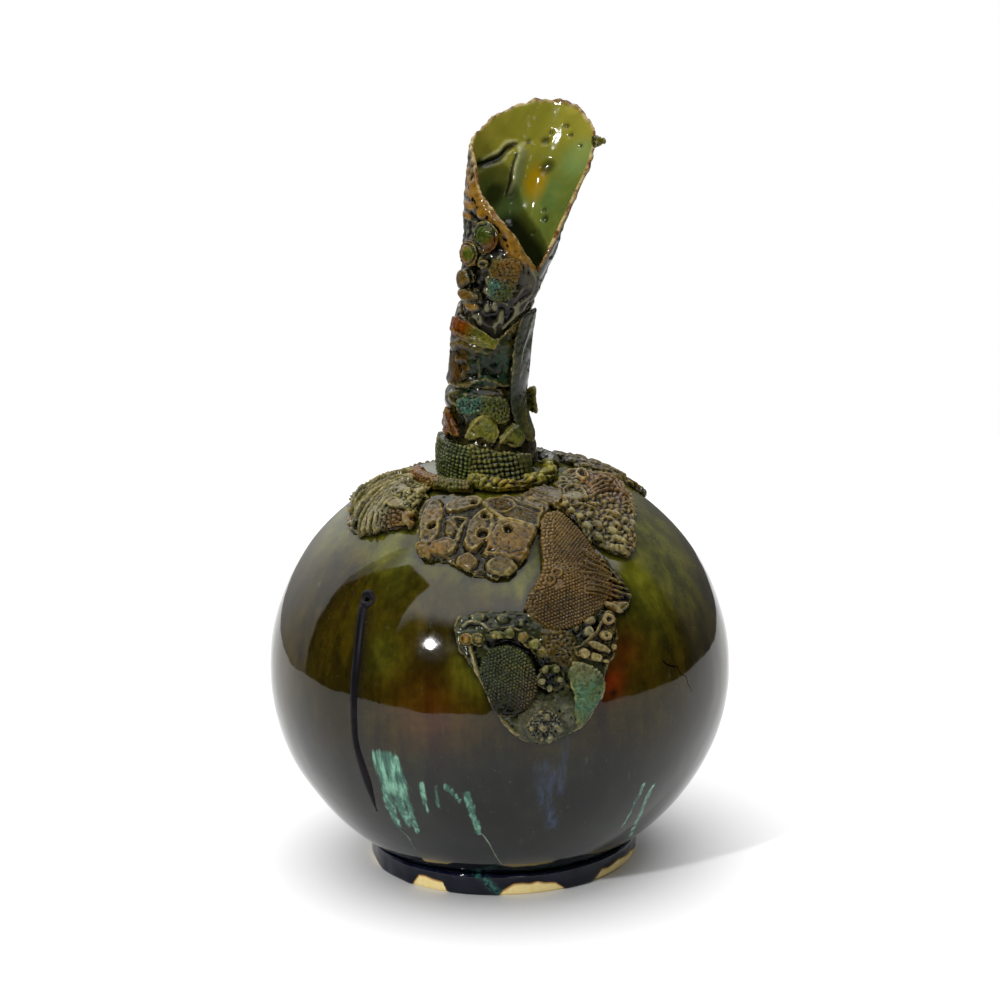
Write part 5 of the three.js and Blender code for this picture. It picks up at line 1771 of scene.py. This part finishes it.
def disc_print(clay):
    """A fine net that thick glaze drowned at the bottom."""
    clay.height -= 0.6
    clay.pebbles(1.5, 0.9, seed=54, jitter=0.15, turn=20)
    drowned = clay.area((504, 712), 7, 0.7)
    clay.height = clay.height * (1 - drowned) - 0.8 * drowned
    clay.paint(clay.area((500, 662), 15), cool=1.0)
    clay.height += 0.35 * clay.area((500, 658), 14, 0.8)
    clay.paint(clay.area((524, 690), 10), warm=0.5)


def dress_sprigs_on_shield():
    upper = (
        ((547, 671), (553, 675), 4.2, 0.0, 0.15),
        ((557, 671), (563, 675), 3.8, 0.0, 0.2),
        ((543, 683), (550, 686), 3.4, 0.0, 0.7),
        ((560, 681), (566, 685), 3.4, 0.0, 0.5),
        ((551, 690), (557, 693), 3.4, 0.0, 0.7),
    )
    lower = (
        ((536, 708), (542, 712), 3.4, 0.0, 0.1),
        ((529, 715), (534, 718), 3.0, 0.3, 0.1),
        ((543, 713), (549, 719), 3.4, 0.0, 0.2),
        ((529, 726), (535, 729), 3.0, 0.2, 0.2),
        ((539, 723), (545, 729), 3.4, 0.0, 0.2),
        ((551, 722), (563, 732), 3.4, 0.0, 0.3),
        ((546, 735), (552, 739), 4.2, 0.0, 0.1),
        ((529, 739), (537, 743), 3.6, 0.2, 0.1),
        ((539, 735), (542, 738), 2.6, 0.0, 0.1),
    )
    bed = GlobeBed(2, 154)
    sprig("net_disc", bed, disc_glaze, "moss_glaze", disc_print, voxel=0.32, crest=0.9, melt=1)
    sprig("bead_arc", GlobeBed(6, 137), moss_glaze, "moss_glaze", arc_of_beads)
    bed, carved = GlobeBed(13, 156), rosette(6.6, False, *upper)
    sprig("rosette_upper", bed, bead_glaze, "moss_glaze", carved, moved=(-2.4, 0, 2.0))
    bed, carved = GlobeBed(10, 177), rosette(9, True, *lower)
    sprig("rosette_lower", bed, slip_glaze, "sand_glaze", carved)
    sprig("brick_band", GlobeBed(24, 140), tile_glaze, "sand_glaze", tiles, voxel=0.34, melt=1)
    sprig("petal_slab", GlobeBed(19, 161), petal_glaze, "jade_glaze", petal)
    bed = GlobeBed(-9, 133)
    sprig("knob_left", bed, coil_glaze, "sand_glaze", knob, moved=(2.6, 0, -1.0))
    sprig("knob_right", GlobeBed(-5, 134), moss_glaze, "sand_glaze", knob)


def dress_coils():
    """The three coils round the crown, printed or lumpy all round."""

    def ribbed(clay):
        clay.facing = smooth(clay.out, -0.3, 0.3)
        clay.height -= 0.6
        clay.net(1.7, 1.1, turn=24, warp=0.12)
        clay.paint(clay.area((420, 473), 7), warm=1.0)
        clay.paint(clay.area((452, 488), 10), cool=0.5)

    def lumpy(clay):
        clay.facing = smooth(clay.out, -0.3, 0.3)
        clay.height -= 1.0
        clay.lumps(
            ((477, 472), (489, 476), 5, 1.6, 0.8),
            ((472, 488), (484, 491), 5, 1.6, 0, 0.9),
            ((500, 468), (512, 473), 5, 1.6, 0, 0.5, 0.4),
            ((514, 470), (528, 476), 5, 1.5, 0, 0.4, 0.4),
            rimmed=0.3,
        )
        clay.pebbles(4.2, 1.2, seed=55, jitter=0.95, stretch=1.6, turn=20)
        clay.paint(clay.area((516, 486), 8), warm=0.4)

    def rough(clay):
        clay.facing = smooth(clay.out, -0.3, 0.3)
        clay.pebbles(3.2, 0.6, seed=56)

    sprig("net_coil", GlobeBed(-41, 38), coil_glaze, "moss_glaze", ribbed, base=-0.2)
    sprig("crown_coil", GlobeBed(22, 35), crown_glaze, "sand_glaze", lumpy, base=-0.3)
    sprig("side_coil", GlobeBed(100, 29), moss_glaze, "moss_glaze", rough, voxel=0.5, base=-0.6)


def dress_back():
    """The slabs behind, which the photograph doesn't show: three of the prints that it does show."""
    right = Clay("back_slab_right", GlobeBed(122, 58))
    right.height = 0.5 * grain(right.points, 4, seed=57, octaves=3) - 0.6
    right.pebbles(5.2, 0.7, seed=64, jitter=0.9, stretch=1.5, turn=30)
    right.paint(smooth(grain(right.points, 22, seed=58), 0.5, 0.7), warm=0.8)
    right.bake(tan_glaze, "bark_glaze", base=-0.2, ragged=1.4)
    middle = Clay("back_slab_middle", GlobeBed(174, 62))
    middle.height = 0.5 * grain(middle.points, 9, seed=59) - 0.6
    middle.net(2.4, 1.3, turn=45, warp=0.2)
    middle.paint(smooth(grain(middle.points, 26, seed=60), 0.45, 0.65), warm=0.9)
    middle.bake(skin_glaze, "moss_glaze", base=-0.1, ragged=1.4)
    left = Clay("back_slab_left", GlobeBed(-150, 92))
    left.height = 0.5 * grain(left.points, 3, seed=65, octaves=3) - 0.6
    left.pebbles(2.2, 1.5, seed=66, jitter=0.6, stretch=3.2, turn=62)
    left.paint(smooth(grain(left.points, 20, seed=67), 0.5, 0.7), warm=0.7)
    left.bake(fibre_glaze, "sand_glaze", base=-0.2, ragged=1.6)


dress_cells()
dress_ribs()
dress_fold()
dress_feather()
dress_scales()
dress_snakeskin()
dress_frill()
dress_shield()
dress_sprigs_on_shield()
dress_coils()
dress_back()
dress_globe()
dress_runs()
dress_foot()

# Light, floor and surroundings

FLOOR_RADIUS = 1.05
floor_mesh = bmesh.new()
bmesh.ops.create_circle(floor_mesh, cap_ends=True, segments=128, radius=FLOOR_RADIUS)
floor_data = bpy.data.meshes.new("floor")
floor_mesh.to_mesh(floor_data)
floor_mesh.free()
floor = new_piece("floor", floor_data)
paper = Finish("pale_floor", 0.6)
paper.base((0.86, 0.86, 0.86, 1))
floor.data.materials.append(paper.material)

world = bpy.data.worlds.new("studio")
bpy.context.scene.world = world
world.use_nodes = True
sky = world.node_tree


def sky_node(kind, *inputs, **settings):
    """A node of the surroundings, with its inputs in order. None leaves one as it is."""
    node = sky.nodes.new("ShaderNode" + kind)
    for key, value in settings.items():
        setattr(node, key, value)
    for socket, value in zip(node.inputs, inputs):
        if isinstance(value, bpy.types.NodeSocket):
            sky.links.new(value, socket)
        elif value is not None:
            socket.default_value = value
    return node


# Where the key light stands, in degrees, and the point that it is aimed at, in metres. The globe
# mirrors a soft haze round it.
KEY_AZIMUTH = -34.5
KEY_ELEVATION = 27.5
LAMP_AIM = Vector((0, 0, 0.15))

# The planes that bound the dark door, the small windows and the ceiling's dim corner, as directions.
DOOR_PLANES = ((0.487, 0.801, 0.348), (0.799, 0.239, 0.551), (0.468, -0.881, -0.07))
WINDOWS = ((0.05, 0.12, 0.99), (0.21, -0.95, 0.15), (0.4, 0.67, 0.62), (-0.35, 0.9, 0.27))
DIM_CORNER = (-0.7, 0.36, 0.62)


def toward(azimuth, elevation):
    a, e = math.radians(azimuth), math.radians(elevation)
    return Vector((math.sin(a) * math.cos(e), -math.cos(a) * math.cos(e), math.sin(e)))


def sky_math(operation, *values):
    return sky_node("Math", *values, operation=operation).outputs[0]


def sky_rise(value, low, high, start=0.0, end=1.0):
    node = sky_node("MapRange", value, low, high, start, end, interpolation_type="SMOOTHSTEP")
    return node.outputs[0]


def sky_side(x, y, z):
    """How far a direction is to one side of a plane through the middle."""
    return sky_node("VectorMath", looked_at, (x, y, z), operation="DOT_PRODUCT").outputs["Value"]


looked_at = sky_node("TexCoord").outputs["Generated"]
way = sky_node("SeparateXYZ", looked_at)
level = sky_math("MULTIPLY", way.outputs[0], way.outputs[0])
level = sky_math("POWER", sky_math("MULTIPLY_ADD", way.outputs[1], way.outputs[1], level), 0.5)
behind = sky_math("DIVIDE", way.outputs[1], level)

# What lights the clay: a bright ceiling and a pale wall behind.
wall = sky_rise(behind, 0.28, 0.4, 0.04, 0.55)
light = sky_math("MAXIMUM", wall, sky_math("MULTIPLY", sky_rise(way.outputs[2], 0.72, 0.84), 3.2))

# What the glaze mirrors: the same room, with a dark door at its left and small windows in it.
ceiling_edge = sky_rise(way.outputs[0], -0.85, -0.55, 0.42, 0.62)
ceiling = sky_rise(sky_math("SUBTRACT", way.outputs[2], ceiling_edge), 0.0, 0.1)
door = 1.0
for plane in DOOR_PLANES:
    door = sky_math("MULTIPLY", sky_rise(sky_side(*plane), 0.012, -0.012), door)
ceiling = sky_math("MULTIPLY", ceiling, sky_math("SUBTRACT", 1.0, door))
dim = sky_rise(sky_side(*DIM_CORNER), 0.92, 0.98, 1.0, 0.25)
ceiling = sky_math("MULTIPLY", ceiling, dim)
left_wall = sky_math("MULTIPLY", sky_rise(behind, 0.34, 0.365), sky_rise(way.outputs[0], 0.1, -0.1))
left_wall = sky_math("MULTIPLY", left_wall, 0.66)
right_wall = sky_math("MULTIPLY", sky_rise(behind, 0.28, 0.4), sky_rise(way.outputs[0], -0.1, 0.1))
right_wall = sky_math("MULTIPLY", right_wall, 0.14)
room = sky_math("MAXIMUM", ceiling, sky_math("MAXIMUM", left_wall, right_wall))
brightness = sky_rise(way.outputs[2], -0.3, 0.85, 0.3, 3.6)
brightness = sky_math("MINIMUM", brightness, sky_rise(way.outputs[2], 0.9, 0.97, 3.6, 0.9))
mirrored = sky_math("MULTIPLY_ADD", room, brightness, 0.04)
for window in WINDOWS:
    near = sky_side(*unit(np.array(window)))
    mirrored = sky_math("MAXIMUM", mirrored, sky_rise(near, 0.996, 0.999, 0.0, 8.0))

haze = sky_side(*toward(KEY_AZIMUTH, KEY_ELEVATION))
haze = sky_rise(haze, 0.985, 0.9995, 0.0, 0.7)

# Glossy rays see the mirrored room, the camera sees white, and all other rays the light. The haze is
# there for all of them.
path = sky_node("LightPath")
light = sky_math("MULTIPLY", sky_math("SUBTRACT", 1.0, path.outputs["Is Glossy Ray"]), light)
strength = sky_math("MULTIPLY_ADD", mirrored, path.outputs["Is Glossy Ray"], light)
strength = sky_math("MAXIMUM", strength, haze)
strength = sky_math("MAXIMUM", strength, path.outputs["Is Camera Ray"])
sky.links.new(strength, sky.nodes["Background"].inputs["Strength"])
sky.nodes["Background"].inputs["Color"].default_value = (1, 1, 1, 1)


def lamp(name, azimuth, elevation, distance, size, power):
    """A round lamp that the camera doesn't see, some metres away and some metres across."""
    light = bpy.data.lights.new(name, "AREA")
    light.shape = "DISK"
    light.size = size
    light.energy = power
    piece = bpy.data.objects.new(name, light)
    out = toward(azimuth, elevation)
    piece.location = LAMP_AIM + distance * out
    piece.rotation_euler = out.to_track_quat("Z", "Y").to_euler()
    piece.visible_camera = False
    bpy.context.scene.collection.objects.link(piece)


lamp("key", KEY_AZIMUTH, KEY_ELEVATION, distance=1.6, size=0.09, power=14)
bpy.context.scene.view_settings.view_transform = "Standard"
